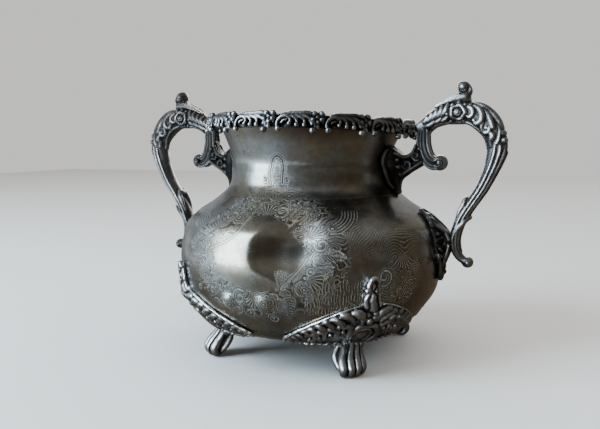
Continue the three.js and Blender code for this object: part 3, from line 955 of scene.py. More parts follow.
class Pen:
    """Cuts small figures round a spot on the bowl, in millimetres, turned by an angle."""

    def __init__(self, etching, azimuth, z, angle=0.0, flip=1):
        self.etching = etching
        self.azimuth = azimuth
        self.arc = float(arc_at(z))
        self.angle = math.radians(angle)
        self.flip = flip

    def local(self, reach):
        where, across, up = self.etching.window(self.azimuth, self.arc, reach)
        c, s = math.cos(self.angle), math.sin(self.angle)
        u = self.flip * (c * across + s * up)
        return where, u, c * up - s * across

    def curl(self, size, lean):
        """Nested crescents."""
        where, u, v = self.local(size + 1)
        r = np.hypot(u, v)
        phase = (r + lean * u) / ENGRAVED_PITCH
        self.etching.stamp(where, phase, fade(r, size - 0.5, size))

    def flower(self, size, petals=6):
        where, u, v = self.local(size + 1)
        r, turn = np.hypot(u, v), np.arctan2(v, u)
        lobed = r * (1 - 0.2 * np.cos(petals * turn))
        inside = fade(lobed, size - 0.7, size)
        self.etching.stamp(where, lobed / (0.8 * ENGRAVED_PITCH), 1.15 * inside)

    def fan(self, size, ribs, spread):
        where, u, v = self.local(size + 1)
        r, turn = np.hypot(u, v), np.degrees(np.arctan2(u, v))
        edge = size * (0.94 + 0.06 * np.abs(np.cos(np.radians(turn / spread * 180 * ribs))))
        inside = fade(r, edge - 0.6, edge)
        inside = inside * fade(np.abs(turn), spread / 2 - 6, spread / 2)
        self.etching.stamp(where, turn / spread * ribs, 1.1 * inside * smoothstep(r, 0.5, 1.5))

    def plume(self, size, width, bend=0.25):
        """A feather whose barbs sweep back from its rib."""
        where, u, v = self.local(size + 2)
        t = np.clip(v / size, 0, 1)
        off = np.abs(u - bend * size * t * t)
        half = width * size * np.sin(math.pi * (0.12 + 0.86 * t)) * (0.85 + 0.15 * np.cos(v * 2.4))
        inside = fade(off, half - 0.5, half + 0.2) * (v > -0.3) * (v < size)
        phase = np.where(off < 0.35, 0.0, (v - 0.75 * off) / ENGRAVED_PITCH)
        self.etching.stamp(where, phase, 1.05 * inside)

    def band(self, points, lines, ink):
        """Lines side by side that follow a curve."""
        path = through(points, 5)
        reach = np.abs(path).max() + lines * CLOSE_PITCH + 1
        where, u, v = self.local(reach * 1.1)
        away = np.full(u.shape, np.inf)
        for (a, b), (c, d) in zip(path, path[1:]):
            e, f = c - a, d - b
            t = np.clip(((u - a) * e + (v - b) * f) / max(e * e + f * f, 1e-9), 0, 1)
            away = np.minimum(away, np.hypot(u - a - t * e, v - b - t * f))
        half = lines * CLOSE_PITCH / 2
        phase = away / CLOSE_PITCH + (0.5 if lines % 2 == 0 else 0.0)
        self.etching.stamp(where, phase, ink * fade(away, half - 0.3, half + 0.2))

    def scroll(self, size):
        """A volute."""
        turn = np.radians(np.linspace(-120, 330, 14))
        radii = size * np.linspace(1, 0.2, 14)
        self.band(np.stack([radii * np.cos(turn), radii * np.sin(turn)], 1), 3, 1.12)

    def bead(self, size):
        where, u, v = self.local(size + 1)
        r = np.hypot(u, v)
        self.etching.stamp(where, r / size + 0.15, 1.3 * fade(r, size - 0.2, size + 0.2))


def smooth_noise(u, v, size, rng):
    """Soft random hills about size millimetres across, mostly between -1 and 1."""
    total = 0
    for _ in range(9):
        turn, shift = rng.uniform(0, 2 * math.pi, 2)
        k = 2 * math.pi / (size * rng.uniform(0.75, 1.5))
        total = total + np.sin(k * (u * math.cos(turn) + v * math.sin(turn)) + shift)
    return total / 4.5


def ground(etching, middle, zone, rng, size, ink):
    """Close curly lines that fill a zone; the zone is a function of azimuth and height, from 0 to 1."""
    arcs, azimuths = etching.arcs[:, None], wrap(etching.azimuths - middle)[None, :]
    u = azimuths * etching.scale[:, None]
    hills = smooth_noise(u, arcs, size, rng)
    share = zone(azimuths, height_at(arcs))
    etching.stamp(np.s_[:, :], 0.24 * size * hills, ink * share)


# The leaf edge that slants up into the blank middle: azimuth, height.
LEAF_EDGE = [(-22, 61.2), (-16, 64.0), (-10, 67.4), (-7.5, 71), (-6, 76)]
# Millimetres round the belly to a degree, at the leaf edge.
LEAF_EDGE_SCALE = 1.13
FAN_STEM = [(0.5, 0.0), (4.0, 3.6), (8.5, 8.4), (12.0, 14.0)]
HAIRPIN = [(-3.4, -3.5), (-3.2, 3.5), (-2.2, 8.2), (0.4, 10.2), (2.8, 8.0), (3.4, 3.0), (3.2, -3.0)]
WREATH_FLOWERS = ((-11, 38, 4.4), (5, 39, 4.8), (-21, 45, 3.2), (20, 46, 3.2))


def wreath_zone(azimuth, z):
    """A broad ring, whose blank middle is cut off by the leaf edge."""
    rings = np.hypot((azimuth - 1) / 21.5, (z - 60) / np.where(z > 60, 19, 17))
    outer = fade(rings + 0.08 * np.sin(np.radians(azimuth * 9)), 1.55, 1.72)
    leaf = smoothstep(z - 61.6 - 0.5 * (azimuth + 22), 0.2, 1.0) * fade(azimuth, -8, -5)
    inner = np.maximum(smoothstep(rings, 0.86, 0.94), leaf)
    return outer * inner * smoothstep(z, 29, 32) * fade(z, 86, 90)


def crest_zone(azimuth, z):
    """The shoulder above the wreath, narrower towards the neck."""
    reach = 24 - 1.25 * (z - 78)
    across = fade(np.abs(azimuth + 1), reach - 2, reach)
    return across * smoothstep(z, 78, 80) * fade(z, 93, 96)


def wreath(etching, middle, rng):
    """Scrolls, plumes, flowers and fans round a blank middle."""
    ground(etching, middle, wreath_zone, rng, 7.5, 0.7)
    for k, t in enumerate(range(0, 360, 15)):
        u, v = math.cos(math.radians(t)), math.sin(math.radians(t))
        azimuth, z = middle + 1 + 23.5 * u, min(60 + (20 if v > 0 else 18) * v, 77)
        out = t - 90
        if k % 4 == 0:
            Pen(etching, azimuth, z, out + rng.uniform(-18, 18)).plume(rng.uniform(11, 14), 0.26)
        elif k % 4 == 1:
            Pen(etching, azimuth + 3 * u, z + 2 * v, out).scroll(rng.uniform(3.4, 4.2))
        elif k % 4 == 2:
            Pen(etching, azimuth, z, out).fan(rng.uniform(6, 8), 8, 130)
        else:
            Pen(etching, azimuth, z, out + rng.uniform(-25, 25)).plume(rng.uniform(9, 12), 0.26, -0.3)
    for _ in range(46):
        turn, reach = rng.uniform(0, 2 * math.pi), rng.uniform(1.0, 1.6)
        azimuth, z = middle + 22 * reach * math.cos(turn), 60 + 18.5 * reach * math.sin(turn)
        if 31 < z < 84:
            pen = Pen(etching, azimuth, z, rng.uniform(0, 360))
            pen.curl(rng.uniform(1.8, 3.4), rng.uniform(0.15, 0.5))
    for azimuth, z, size in WREATH_FLOWERS:
        Pen(etching, middle + azimuth, z, 20).flower(size, 7)
    Pen(etching, middle + 11, 46, -10).fan(8.5, 7, 64)
    Pen(etching, middle + 11, 46).band(FAN_STEM, 3, 1.25)
    Pen(etching, middle - 22, 57, 30).curl(4.6, 0.6)
    for z in np.linspace(42, 60, 9):
        bow = 3.2 * ((z - 51) / 9) ** 2
        Pen(etching, middle - 28 + bow, z).bead(1.1)
    pen = Pen(etching, middle, 66)
    pen.band([(a * LEAF_EDGE_SCALE, float(arc_at(z)) - pen.arc) for a, z in LEAF_EDGE], 3, 1.25)


def crest(etching, middle, rng):
    """Plumes on the shoulder and up the neck round a hairpin loop, with scrolls out both ways."""
    ground(etching, middle, crest_zone, rng, 6.5, 0.66)
    for slant, size in ((-44, 8), (-22, 10), (22, 10), (44, 8)):
        Pen(etching, middle - 1 + 0.07 * slant, 88, -slant).plume(size, 0.26, -0.004 * slant)
    Pen(etching, middle - 0.5, 92.5).plume(8.0, 0.2, 0.04)
    Pen(etching, middle - 0.5, 93.5).band(HAIRPIN, 4, 1.7)
    Pen(etching, middle - 13, 84.0).curl(5.6, 0.25)
    Pen(etching, middle + 9.5, 85.0).curl(4.4, -0.25)
    for side in (-1, 1):
        Pen(etching, middle - 1 + 12 * side, 83.8, -60 * side).plume(9, 0.28)
        Pen(etching, middle - 1 + 17 * side, 80.6, -80 * side).plume(8, 0.28)
        Pen(etching, middle - 1 + 3.6 * side, 82.4, -20 * side).fan(5.5, 6, 110)


def side_spray(etching, middle, flip):
    """A looser spray of plumes and scrolls between the wreath and a handle; flip turns it about."""
    rng = np.random.default_rng(21 + flip)

    def patch(azimuth, z):
        rings = np.hypot((azimuth - flip) / 10.5, (z - 47) / 13)
        return fade(rings, 0.85, 1.0)

    ground(etching, middle, patch, rng, 9, 0.65)
    Pen(etching, middle - 4 * flip, 36, 18, flip).plume(17, 0.24, 0.3)
    Pen(etching, middle + 4 * flip, 38, -16, flip).plume(15, 0.26, -0.3)
    Pen(etching, middle - 7 * flip, 50, 10, flip).scroll(4.4)
    Pen(etching, middle + 2 * flip, 60, 180, flip).fan(8, 9, 130)
    Pen(etching, middle + 9 * flip, 53, 0, flip).flower(3.6)
    for k in range(5):
        pen = Pen(etching, middle + (9 + 4.6 * k) * flip, 75.5 - k, -70, flip)
        pen.plume(6.5 - 0.4 * k, 0.26, 0.3)
    # wavy lines over the shoulder
    where, u, v = Pen(etching, middle - 3 * flip, 67, 0, flip).local(30)
    hills = smooth_noise(u, v, 16, rng)
    reach = np.hypot(u / 25, (v + 0.1 * u) / (11 - 0.12 * u))
    phase = (v - 0.35 * u + 0.02 * u * u) / ENGRAVED_PITCH + 1.7 * hills
    etching.stamp(where, phase, 0.46 * fade(reach, 0.8, 1.0))
    # a sweep of lines beside the crest
    where, u, v = Pen(etching, middle - 29 * flip, 79, 0, flip).local(20)
    r, turn = np.hypot(u, v), np.degrees(np.arctan2(v, u))
    sweep = smoothstep(r, 7.5, 8.5) * fade(r, 16, 17)
    sweep = sweep * smoothstep(turn, -82, -72) * fade(turn, -10, 0)
    etching.stamp(where, (r + 0.03 * turn) / (1.15 * ENGRAVED_PITCH), 0.8 * sweep)


def hatching(etching, middle):
    """Upright strokes, like grass, along the foot of the wreath."""
    rng = np.random.default_rng(14)
    arcs, azimuths = etching.arcs[:, None], wrap(etching.azimuths - middle)[None, :]
    z = height_at(arcs)
    u = azimuths * etching.scale[:, None]
    top = 50 + 2.4 * np.sin(azimuths * 0.9) + 1.2 * np.sin(azimuths * 2.3)
    share = smoothstep(z, 33, 36) * fade(z, top - 1.5, top)
    share = share * fade(np.abs(azimuths), 12, 14)
    phase = u / ENGRAVED_PITCH + 0.3 * smooth_noise(u, arcs, 5, rng)
    broken = smoothstep(smooth_noise(2.4 * u, arcs, 4.5, rng), -0.5, -0.1)
    etching.stamp(np.s_[:, :], phase, 0.9 * share * broken)


# Where the ornament sits on the front. The back has the same half a turn on, with its wreath and crest
# drawn from another seed.
GRASS_AZIMUTH = -58
WREATH_AZIMUTH = -91
SPRAY_AZIMUTHS = {1: -33, -1: -151}
WREATH_SEEDS = {0: 5, 180: 8}


def engrave(etching):
    for turn, seed in WREATH_SEEDS.items():
        hatching(etching, wrap(GRASS_AZIMUTH + turn))
        rng = np.random.default_rng(seed)
        wreath(etching, wrap(WREATH_AZIMUTH + turn), rng)
        crest(etching, wrap(WREATH_AZIMUTH + turn), rng)
        for flip, azimuth in SPRAY_AZIMUTHS.items():
            side_spray(etching, wrap(azimuth + turn), flip)


def wrap(azimuth):
    """The same azimuth, between -180 and 180."""
    return (azimuth + 180) % 360 - 180


# ---- dents

# Each dent: azimuth, height, half widths to the left and right in degrees, half heights below and above,
# depth, and how much of it is a level floor. The two negative ones are swellings under engraved flowers.
DENTS = [
    (-76.0, 64.5, 18.0, 18.0, 21.0, 21.0, 5.0, 0.04),
    (-87.0, 62.5, 6.0, 12.0, 15.0, 14.0, 0.9, 0.0),
    (-102.0, 38.0, 4.6, 4.6, 5.2, 5.2, -1.5, 0.1),
    (-86.0, 39.0, 5.0, 5.0, 5.4, 5.4, -1.6, 0.1),
]
# The exponent of a dent's outline: 2 would be an ellipse.
SQUARENESS = 2.4
CREASE_HEIGHT = 0.22


def dent_depth(azimuth, z):
    """How far the wall is pushed in, with a faint crease that runs across the main dent."""
    azimuth = azimuth + 0.7 * np.sin(0.33 * z) - 0.4 * np.sin(0.61 * z + 1)
    depth = 0
    for az, height, left, right, below, above, deep, level in DENTS:
        across = wrap(azimuth - az)
        u = across / np.where(across < 0, left, right)
        v = (z - height) / np.where(z < height, below, above)
        reach = (np.abs(u) ** SQUARENESS + np.abs(v) ** SQUARENESS) ** (1 / SQUARENESS)
        t = np.clip((reach - level) / (1 - level), 0, 1)
        depth = depth + deep * (1 - t**3 * (6 * t * t - 15 * t + 10))
    crease = (z - 63.0 + 0.45 * (azimuth + 76)) / 3.0
    run = (azimuth + 77) / 9
    return depth - CREASE_HEIGHT * np.exp(-crease**2 - run**2)


# ---- sheet-metal pieces

def columns(fine):
    """Azimuths all round, fine over the front and a degree apart at the back."""
    return np.concatenate([np.arange(-164, 22, fine), np.arange(22, 196, 1.0)])


def ring_solid(azimuths, radii, heights):
    """Points and faces of a ring whose section closes on itself. Rows are heights, columns azimuths."""
    turn = np.radians(azimuths)[None, :]
    rows, cols = radii.shape
    points = np.stack([radii * np.cos(turn), radii * np.sin(turn), heights + 0 * radii], -1)
    i, j = np.meshgrid(np.arange(rows), np.arange(cols), indexing="ij")
    up, on = (i + 1) % rows, (j + 1) % cols
    faces = np.stack([i * cols + j, i * cols + on, up * cols + on, up * cols + j], -1)
    return points.reshape(-1, 3), faces.reshape(-1, 4)


# How far the spun wall waves in and out, and the bead round its bottom edge.
RIPPLE = 0.10
BEAD_HEIGHT = 0.55
BEAD_HALF_WIDTH = 0.7


def sheet_wall(low, high, azimuths, row_step, inner_rows):
    """A spun wall with its dents and engraving. Its outer rows are row_step apart along the curve."""
    start, end = arc_at(low), arc_at(high)
    arcs = np.linspace(start, end, int((end - start) / row_step) + 1)
    etching = Etching(azimuths, arcs)
    engrave(etching)
    z = height_at(arcs)[:, None]
    r = radius_along(arcs)[:, None]
    run = radius_along(arcs + 0.3) - radius_along(arcs - 0.3)
    rise = height_at(arcs + 0.3) - height_at(arcs - 0.3)
    slope = (run / np.maximum(rise, 1e-3))[:, None]
    steep = 1 / np.sqrt(1 + slope**2)
    ripple = RIPPLE * np.sin(np.radians(azimuths[None, :] * 3 + 20) + z * 0.11)
    ripple = ripple * smoothstep(z, low, low + 8) * fade(z, high - 6, high)
    inward = dent_depth(azimuths[None, :], z) - ripple
    bead = BEAD_HEIGHT * np.exp(-((arcs[:, None] - arc_at(BOTTOM) - 0.9) / BEAD_HALF_WIDTH) ** 2)
    depth = inward - bead
    outer_r = r - depth * steep
    outer_z = z + depth * steep * slope
    pick = np.linspace(len(arcs) - 1, 0, inner_rows).round().astype(int)
    inner = inward[pick] + WALL
    inner_r = r[pick] - inner * steep[pick]
    inner_z = np.clip(z[pick] + inner * steep[pick] * slope[pick], low, high)
    points, faces = ring_solid(azimuths, np.vstack([outer_r, inner_r]), np.vstack([outer_z, inner_z]))
    inside = np.zeros(inner_r.shape)
    phase = np.vstack([etching.phase, inside + 0.5]).ravel()
    ink = np.vstack([etching.ink, inside]).ravel()
    return points, faces, {"phase": phase, "ink": ink}


BASE_RINGS = (22, 41)


def bottom_plate():
    """The flat base, pressed with a shallow step and two rings."""
    low, high = node_box("bottom_plate")
    clay = Clay(low - 1, high + 1, cell=0.55)
    where, (x, y, z) = clay.whole()
    r = np.hypot(x, y)
    sag = 0.5 * smoothstep(r, 30, 34)
    middle = (low[2] + high[2]) / 2
    slab = np.abs(z - middle + 0.25 - sag) - (high[2] - low[2]) / 2 + 0.25
    clay.add(where, limit(slab, r - high[0], 0.8))
    for radius in BASE_RINGS:
        clay.cut(where, np.hypot(r - radius, z - low[2]) - 0.5, 0.3)
    return clay.skin()


# ---- materials

class Graph:
    """Short ways to add shader nodes."""

    def __init__(self, tree):
        self.tree = tree
        tree.nodes.clear()

    def node(self, kind, inputs=(), **settings):
        node = self.tree.nodes.new(kind)
        for key, value in settings.items():
            setattr(node, key, value)
        for key, value in dict(inputs).items():
            self.feed(node.inputs[key], value)
        return node

    def feed(self, socket, value):
        if isinstance(value, bpy.types.NodeSocket):
            self.tree.links.new(value, socket)
        elif isinstance(value, tuple) and len(value) == 3 and socket.type == "RGBA":
            socket.default_value = (*value, 1)
        else:
            socket.default_value = value

    def math(self, operation, *values):
        return self.node("ShaderNodeMath", dict(enumerate(values)), operation=operation).outputs[0]

    def mix(self, share, first, second):
        inputs = {0: share, 6: first, 7: second}
        return self.node("ShaderNodeMix", inputs, data_type="RGBA").outputs[2]

    def ramp(self, value, low, high, first=0.0, second=1.0):
        inputs = {"Value": value, "From Min": low, "From Max": high, "To Min": first, "To Max": second}
        return self.node("ShaderNodeMapRange", inputs, interpolation_type="SMOOTHSTEP").outputs[0]

    def place(self, scale=(1, 1, 1), turn=(0, 0, 0)):
        """The object's own coordinates, in metres, stretched and turned."""
        spot = self.node("ShaderNodeTexCoord").outputs["Object"]
        inputs = {"Vector": spot, "Scale": scale, "Rotation": turn}
        return self.node("ShaderNodeMapping", inputs).outputs[0]

    def noise(self, scale, detail, rough, stretch=(1, 1, 1), turn=(0, 0, 0), distortion=0.0):
        inputs = {"Vector": self.place(stretch, turn), "Scale": scale, "Detail": detail}
        inputs |= {"Roughness": rough, "Distortion": distortion}
        return self.node("ShaderNodeTexNoise", inputs).outputs["Fac"]

    def clouds(self, scale, detail, rough, low, high, first=0.0, second=1.0, distortion=0.0):
        """Noise whose middle range, from low to high, becomes first to second."""
        noise = self.noise(scale, detail, rough, distortion=distortion)
        return self.ramp(noise, low, high, first, second)

    def over(self, colour, share, amount, other):
        """The colour, with this amount of another where the share is 1."""
        return self.mix(self.math("MULTIPLY", share, amount), colour, other)

    def value(self, name):
        return self.node("ShaderNodeAttribute", attribute_name=name).outputs["Fac"]

    def bump(self, height, distance, strength, normal=None):
        inputs = {"Height": height, "Distance": distance, "Strength": strength}
        if normal is not None:
            inputs["Normal"] = normal
        return self.node("ShaderNodeBump", inputs).outputs[0]

    def metal(self, colour, roughness, normal, metallic=1.0):
        inputs = {"Base Color": colour, "Roughness": roughness, "Normal": normal, "Metallic": metallic}
        shader = self.node("ShaderNodeBsdfPrincipled", inputs)
        self.node("ShaderNodeOutputMaterial", {"Surface": shader.outputs[0]})


def material(name):
    made = bpy.data.materials.new(name)
    made.use_nodes = True
    return made, Graph(made.node_tree)


def plate_metal(name, brushed):
    """Worn silver plate: clouded tarnish, brown bloom, fine scratches and bright-cut engraved lines."""
    made, g = material(name)
    cloud = g.clouds(26, 4, 0.6, 0.36, 0.68)
    bloom = g.clouds(13, 3, 0.5, 0.42, 0.66, distortion=0.6)
    mottle = g.clouds(230, 5, 0.7, 0.40, 0.62)
    speck = g.clouds(900, 2, 0.6, 0.62, 0.75)
    cycle = g.math("FRACT", g.value("phase"))
    # Each engraved line has a lit flank, painted as a pale glint, and a shaded flank, painted as shade.
    lit = g.math("MULTIPLY", g.ramp(cycle, 0.16, 0.30), g.ramp(cycle, 0.54, 0.46))
    lit = g.math("MULTIPLY", lit, g.value("ink"))
    shaded = g.math("MULTIPLY", g.ramp(cycle, 0.48, 0.56), g.ramp(cycle, 0.86, 0.74))
    shaded = g.math("MULTIPLY", shaded, g.value("ink"))
    line = g.math("ADD", lit, shaded)
    colour = g.mix(cloud, (0.36, 0.358, 0.35), (0.235, 0.228, 0.21))
    colour = g.over(colour, bloom, 0.55, (0.17, 0.135, 0.085))
    tint = g.noise(34, 2, 0.5, distortion=0.8)
    colour = g.mix(g.ramp(tint, 0.52, 0.68, 0, 0.5), colour, (0.25, 0.31, 0.37))
    colour = g.mix(g.ramp(tint, 0.46, 0.34, 0, 0.5), colour, (0.36, 0.31, 0.19))
    colour = g.over(colour, mottle, 0.42, (0.165, 0.14, 0.10))
    height = g.node("ShaderNodeSeparateXYZ", {0: g.place()}).outputs[2]
    blotch = g.clouds(30, 3, 0.5, 0.3, 0.6, 0.35, 0.8)
    under_rim = g.math("MULTIPLY", g.ramp(height, 0.1065, 0.1165), blotch)
    colour = g.mix(under_rim, colour, (0.10, 0.072, 0.045))
    colour = g.over(colour, speck, 0.35, (0.05, 0.045, 0.04))
    # Painted glint on the lit flank of each engraved line, and painted shade on its shaded flank.
    colour = g.over(colour, lit, 0.56, (0.40, 0.392, 0.362))
    colour = g.over(colour, shaded, 0.95, (0.045, 0.041, 0.035))
    smooth, worn = (0.26, 0.40) if brushed else (0.21, 0.33)
    rough = g.clouds(38, 4, 0.6, 0.3, 0.7, smooth, worn)
    rough = g.math("ADD", rough, g.math("MULTIPLY", line, 0.10))
    # The painted glint is made less metallic, so it stays pale whatever the metal mirrors.
    metallic = g.math("SUBTRACT", 1.0, g.math("MULTIPLY", lit, 0.30))
    scratches = g.noise(1500, 2, 0.7, (1, 1, 0.04), (0.5, 0.3, 0))
    turned = g.noise(1100 if brushed else 500, 2, 0.6, (0.05, 0.05, 1))
    normal = g.bump(g.math("SUBTRACT", 1.0, shaded), 0.00008, 0.8)
    normal = g.bump(scratches, 0.00002, 0.35, normal)
    normal = g.bump(turned, 0.00006 if brushed else 0.00002, 0.7 if brushed else 0.3, normal)
    normal = g.bump(g.noise(60, 2, 0.5), 0.0006, 0.25, normal)
    g.metal(colour, rough, normal, metallic)
    return made


def cast_metal(name, dark, bright, reach, rub):
    """Cast work: black in the hollows, rubbed bright on what stands out."""
    made, g = material(name)
    uneven = g.math("MULTIPLY", g.math("SUBTRACT", g.noise(240, 3, 0.6), 0.5), rub)
    proud = g.math("ADD", g.value("proud"), uneven)
    high = g.ramp(proud, *reach)
    patchy = g.clouds(70, 3, 0.6, 0.32, 0.7, 0.55, 1.0)
    colour = g.mix(g.math("MULTIPLY", high, patchy), dark, bright)
    bloom = g.clouds(45, 3, 0.6, 0.5, 0.72, 0, 0.4)
    colour = g.mix(bloom, colour, (0.10, 0.085, 0.06))
    grain = g.clouds(300, 2, 0.6, 0.3, 0.7, -0.03, 0.05)
    rough = g.math("ADD", g.ramp(high, 0, 1, 0.45, 0.20), grain)
    pits = g.clouds(1700, 2, 0.65, 0.35, 0.62)
    normal = g.bump(g.noise(420, 3, 0.6), 0.00012, 0.5)
    normal = g.bump(pits, 0.00006, 0.45, normal)
    g.metal(colour, rough, normal)
    return made


def floor_material():
    """Pale to look at; what the metal mirrors of it is the warm grey of a table."""
    made, g = material("pale_floor")
    shade = g.mix(g.noise(9, 3, 0.5), (0.74, 0.73, 0.71), (0.77, 0.76, 0.74))
    mirrored = g.node("ShaderNodeLightPath").outputs["Is Glossy Ray"]
    x, y, _ = g.node("ShaderNodeSeparateXYZ", {0: g.place()}).outputs
    # Towards the window the mirrored table turns pale and bluish: a painted pool of window light.
    near_window = g.math("ADD", g.math("MULTIPLY", x, -0.78), g.math("MULTIPLY", y, -0.63))
    table = g.mix(g.ramp(near_window, 0.12, 0.55), (0.096, 0.072, 0.048), (0.66, 0.69, 0.72))
    shade = g.mix(mirrored, shade, table)
    g.metal(shade, 0.62, g.bump(g.noise(400, 3, 0.6), 0.0001, 0.3), 0.0)
    return made


# Each kind of cast work: its dark and bright colours, where proud turns from one to the other, its rub.
CAST_WORK = {
    "cast_border": ((0.014, 0.014, 0.015), (0.50, 0.505, 0.51), (-0.02, 0.62), 0.25),
    "cast_handle": ((0.050, 0.050, 0.052), (0.54, 0.55, 0.56), (-0.20, 0.52), 0.25),
    "cast_bracket": ((0.023, 0.023, 0.022), (0.46, 0.46, 0.455), (-0.05, 0.65), 0.3),
    "cast_foot": ((0.030, 0.030, 0.030), (0.82, 0.82, 0.82), (-0.12, 0.50), 0.25),
}
materials = {
    "engraved_plate": plate_metal("engraved_plate", False),
    "plain_plate": plate_metal("plain_plate", True),
}
for name, look in CAST_WORK.items():
    materials[name] = cast_metal(name, *look)


# ---- assembly

# How the lip sags: this much for each square millimetre beyond the start, towards the right handle.
SAG = 0.00105
SAG_START = -5


def sagged(points):
    """The neck was bent at some time, so the lip and border lie a little lower towards the right."""
    points = points.copy()
    drop = SAG * np.clip(points[:, 0] - SAG_START, 0, None) ** 2 * smoothstep(points[:, 2], 97, 116)
    points[:, 2] -= drop
    return points


def build_set(makers, places):
    """Makes each casting once and sets it at each place, which is a first name and an azimuth."""
    for part, (maker, slot) in makers.items():
        points, faces, proud = maker()
        for first_name, azimuth in places.items():
            turned = turned_about_z(points, azimuth)
            make_piece(f"{first_name}_{part}_look", turned, faces, slot, proud=proud)


def build_castings():
    handle = {
        "handle_loop": (handle_loop, "cast_handle"),
        "handle_thumb_scroll": (thumb_scroll, "cast_handle"),
        "handle_inner_scroll": (inner_scroll, "cast_handle"),
        "handle_neck_bracket": (neck_bracket, "cast_bracket"),
        "handle_body_plate": (body_plate, "cast_bracket"),
    }
    foot = {"foot_apron": (foot_apron, "cast_foot"), "foot_paw": (foot_paw, "cast_foot")}
    build_set(handle, HANDLE_TURNS)
    build_set(foot, FOOT_AZIMUTHS)
    points, faces, proud = rim_border()
    make_piece("rim_border_look", sagged(points), faces, "cast_border", proud=proud)


def build_bowl():
    points, faces, values = sheet_wall(BOTTOM, SEAM + SEAM_LAP, columns(0.36), 0.52, 34)
    make_piece("body_shell_look", points, faces, "engraved_plate", **values)
    points, faces, values = sheet_wall(SEAM - SEAM_LAP, LIP, columns(0.5), 0.42, 24)
    make_piece("neck_collar_look", sagged(points), faces, "plain_plate", **values)
    points, faces, _ = bottom_plate()
    make_piece("bottom_plate_look", points, faces, "plain_plate")


FLOOR_REACH = 1.8
FLOOR_STEPS = 24


def build_floor():
    line = np.linspace(-FLOOR_REACH, FLOOR_REACH, FLOOR_STEPS + 1)
    x, y = np.meshgrid(line, line, indexing="ij")
    points = np.stack([x, y, np.zeros_like(x)], -1).reshape(-1, 3)
    i, j = np.meshgrid(np.arange(FLOOR_STEPS), np.arange(FLOOR_STEPS), indexing="ij")
    corner, wide = i * line.size + j, line.size
    faces = np.stack([corner, corner + wide, corner + wide + 1, corner + 1], -1)
    mesh = bpy.data.meshes.new("floor")
    mesh.from_pydata(points.tolist(), [], faces.reshape(-1, 4).tolist())
    floor = bpy.data.objects.new("floor", mesh)
    bpy.context.scene.collection.objects.link(floor)
    mesh.materials.append(floor_material())
    floor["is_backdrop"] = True


# The middle of the bowl, where every lamp points.
AIM = Vector((0, 0, 0.07))


def soft_light(name, azimuth, distance, height, size, power, colour, mirrored=True, only=None):
    """A rectangular lamp that faces the bowl. only is a collection that says which pieces it lights."""
    lamp = bpy.data.lights.new(name, "AREA")
    lamp.shape = "RECTANGLE"
    lamp.size, lamp.size_y = size
    lamp.energy = power
    lamp.color = colour
    holder = bpy.data.objects.new(name, lamp)
    turn = math.radians(azimuth)
    spot = Vector((distance * math.cos(turn), distance * math.sin(turn), height))
    holder.location = spot
    holder.rotation_euler = (spot - AIM).to_track_quat("Z", "Y").to_euler()
    holder.visible_glossy = mirrored
    bpy.context.scene.collection.objects.link(holder)
    if only:
        holder.light_linking.receiver_collection = only


def lit_group(name, *words):
    """The pieces whose names hold one of the words, as a collection."""
    group = bpy.data.collections.new(name)
    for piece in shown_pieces():
        if any(word in piece.name for word in words):
            group.objects.link(piece)
    return group


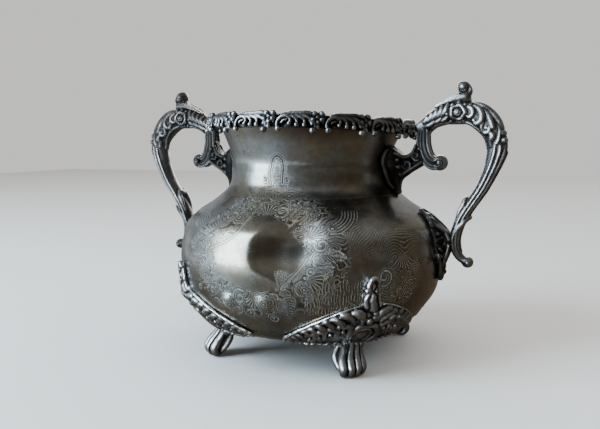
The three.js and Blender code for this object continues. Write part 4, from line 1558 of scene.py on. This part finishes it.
def build_lights():
    handles = lit_group("handles", "handle_loop", "thumb_scroll", "body_plate")
    feet = lit_group("feet", "foot")
    castings = lit_group("castings", "handle", "foot", "rim_border")
    neck = lit_group("neck", "neck_collar")
    # the window lights everything but these, because they are marked as left out
    others = lit_group("others", "neck_collar", "left_handle")
    for left_out in others.collection_objects:
        left_out.light_linking.link_state = "EXCLUDE"
    # name, azimuth, distance, height, size, power, colour
    soft_light("window", -139, 0.95, 0.49, (0.62, 0.96), 31.0, (0.64, 0.84, 1.0), only=others)
    soft_light("neck_window", -141, 0.95, 0.25, (0.46, 0.42), 13.5, (0.62, 0.83, 1.0), only=neck)
    soft_light("handle_light", -97, 0.8, 0.24, (0.36, 0.30), 4.0, (0.84, 0.93, 1.0), only=handles)
    soft_light("foot_light", -100, 0.7, 0.13, (0.34, 0.20), 8.0, (0.82, 0.92, 1.0), only=feet)
    soft_light("back_light", 104, 0.8, 0.34, (0.5, 0.4), 7.0, (1.0, 0.97, 0.92), only=castings)
    soft_light("high_window", -122, 0.75, 0.95, (0.5, 0.5), 1.2, (0.90, 0.95, 1.0))
    soft_light("floor_fill", 20, 0.5, 2.6, (5.0, 5.0), 120.0, (1.0, 0.99, 0.97), mirrored=False)


def build_world():
    """A plain pale backdrop; what the metal mirrors is a room, paler at the back, the left and above."""
    world = bpy.data.worlds.new("studio")
    bpy.context.scene.world = world
    world.use_nodes = True
    g = Graph(world.node_tree)
    direction = g.node("ShaderNodeTexCoord").outputs["Generated"]
    x, y, z = g.node("ShaderNodeSeparateXYZ", {0: direction}).outputs
    behind = g.ramp(y, -0.25, 0.9)
    room = g.mix(behind, (0.112, 0.104, 0.086), (0.48, 0.47, 0.45))
    room = g.mix(g.ramp(x, 0.2, 0.95, 0, 0.75), room, (0.112, 0.080, 0.047))
    room = g.mix(g.ramp(z, 0.1, 0.85, 0, 0.85), room, (0.35, 0.34, 0.32))
    room = g.mix(g.ramp(x, -0.12, -0.8, 0, 0.85), room, (0.48, 0.495, 0.51))
    seen = g.node("ShaderNodeLightPath").outputs["Is Camera Ray"]
    shade = g.mix(seen, room, (0.78, 0.77, 0.75))
    back = g.node("ShaderNodeBackground", {"Color": shade, "Strength": 1.0})
    g.node("ShaderNodeOutputWorld", {"Surface": back.outputs[0]})


# The camera's place in metres, and how many degrees it is turned, tipped up from facing down, rolled.
CAMERA_SPOT = (0.1261, -0.3171, 0.1102)
CAMERA_TURNS = ((22.69, "Z"), (83.49, "X"), (-0.29, "Z"))
FOCAL_LENGTH = 38.35


def build_camera():
    lens = bpy.data.cameras.new("camera")
    lens.lens = FOCAL_LENGTH
    lens.sensor_width = 36
    lens.clip_start = 0.01
    camera = bpy.data.objects.new("camera", lens)
    place = Matrix.Translation(CAMERA_SPOT)
    for degrees, axis in CAMERA_TURNS:
        place = place @ Matrix.Rotation(math.radians(degrees), 4, axis)
    camera.matrix_world = place
    bpy.context.scene.collection.objects.link(camera)
    bpy.context.scene.camera = camera


build_castings()
build_bowl()
build_floor()
build_lights()
build_world()
build_camera()
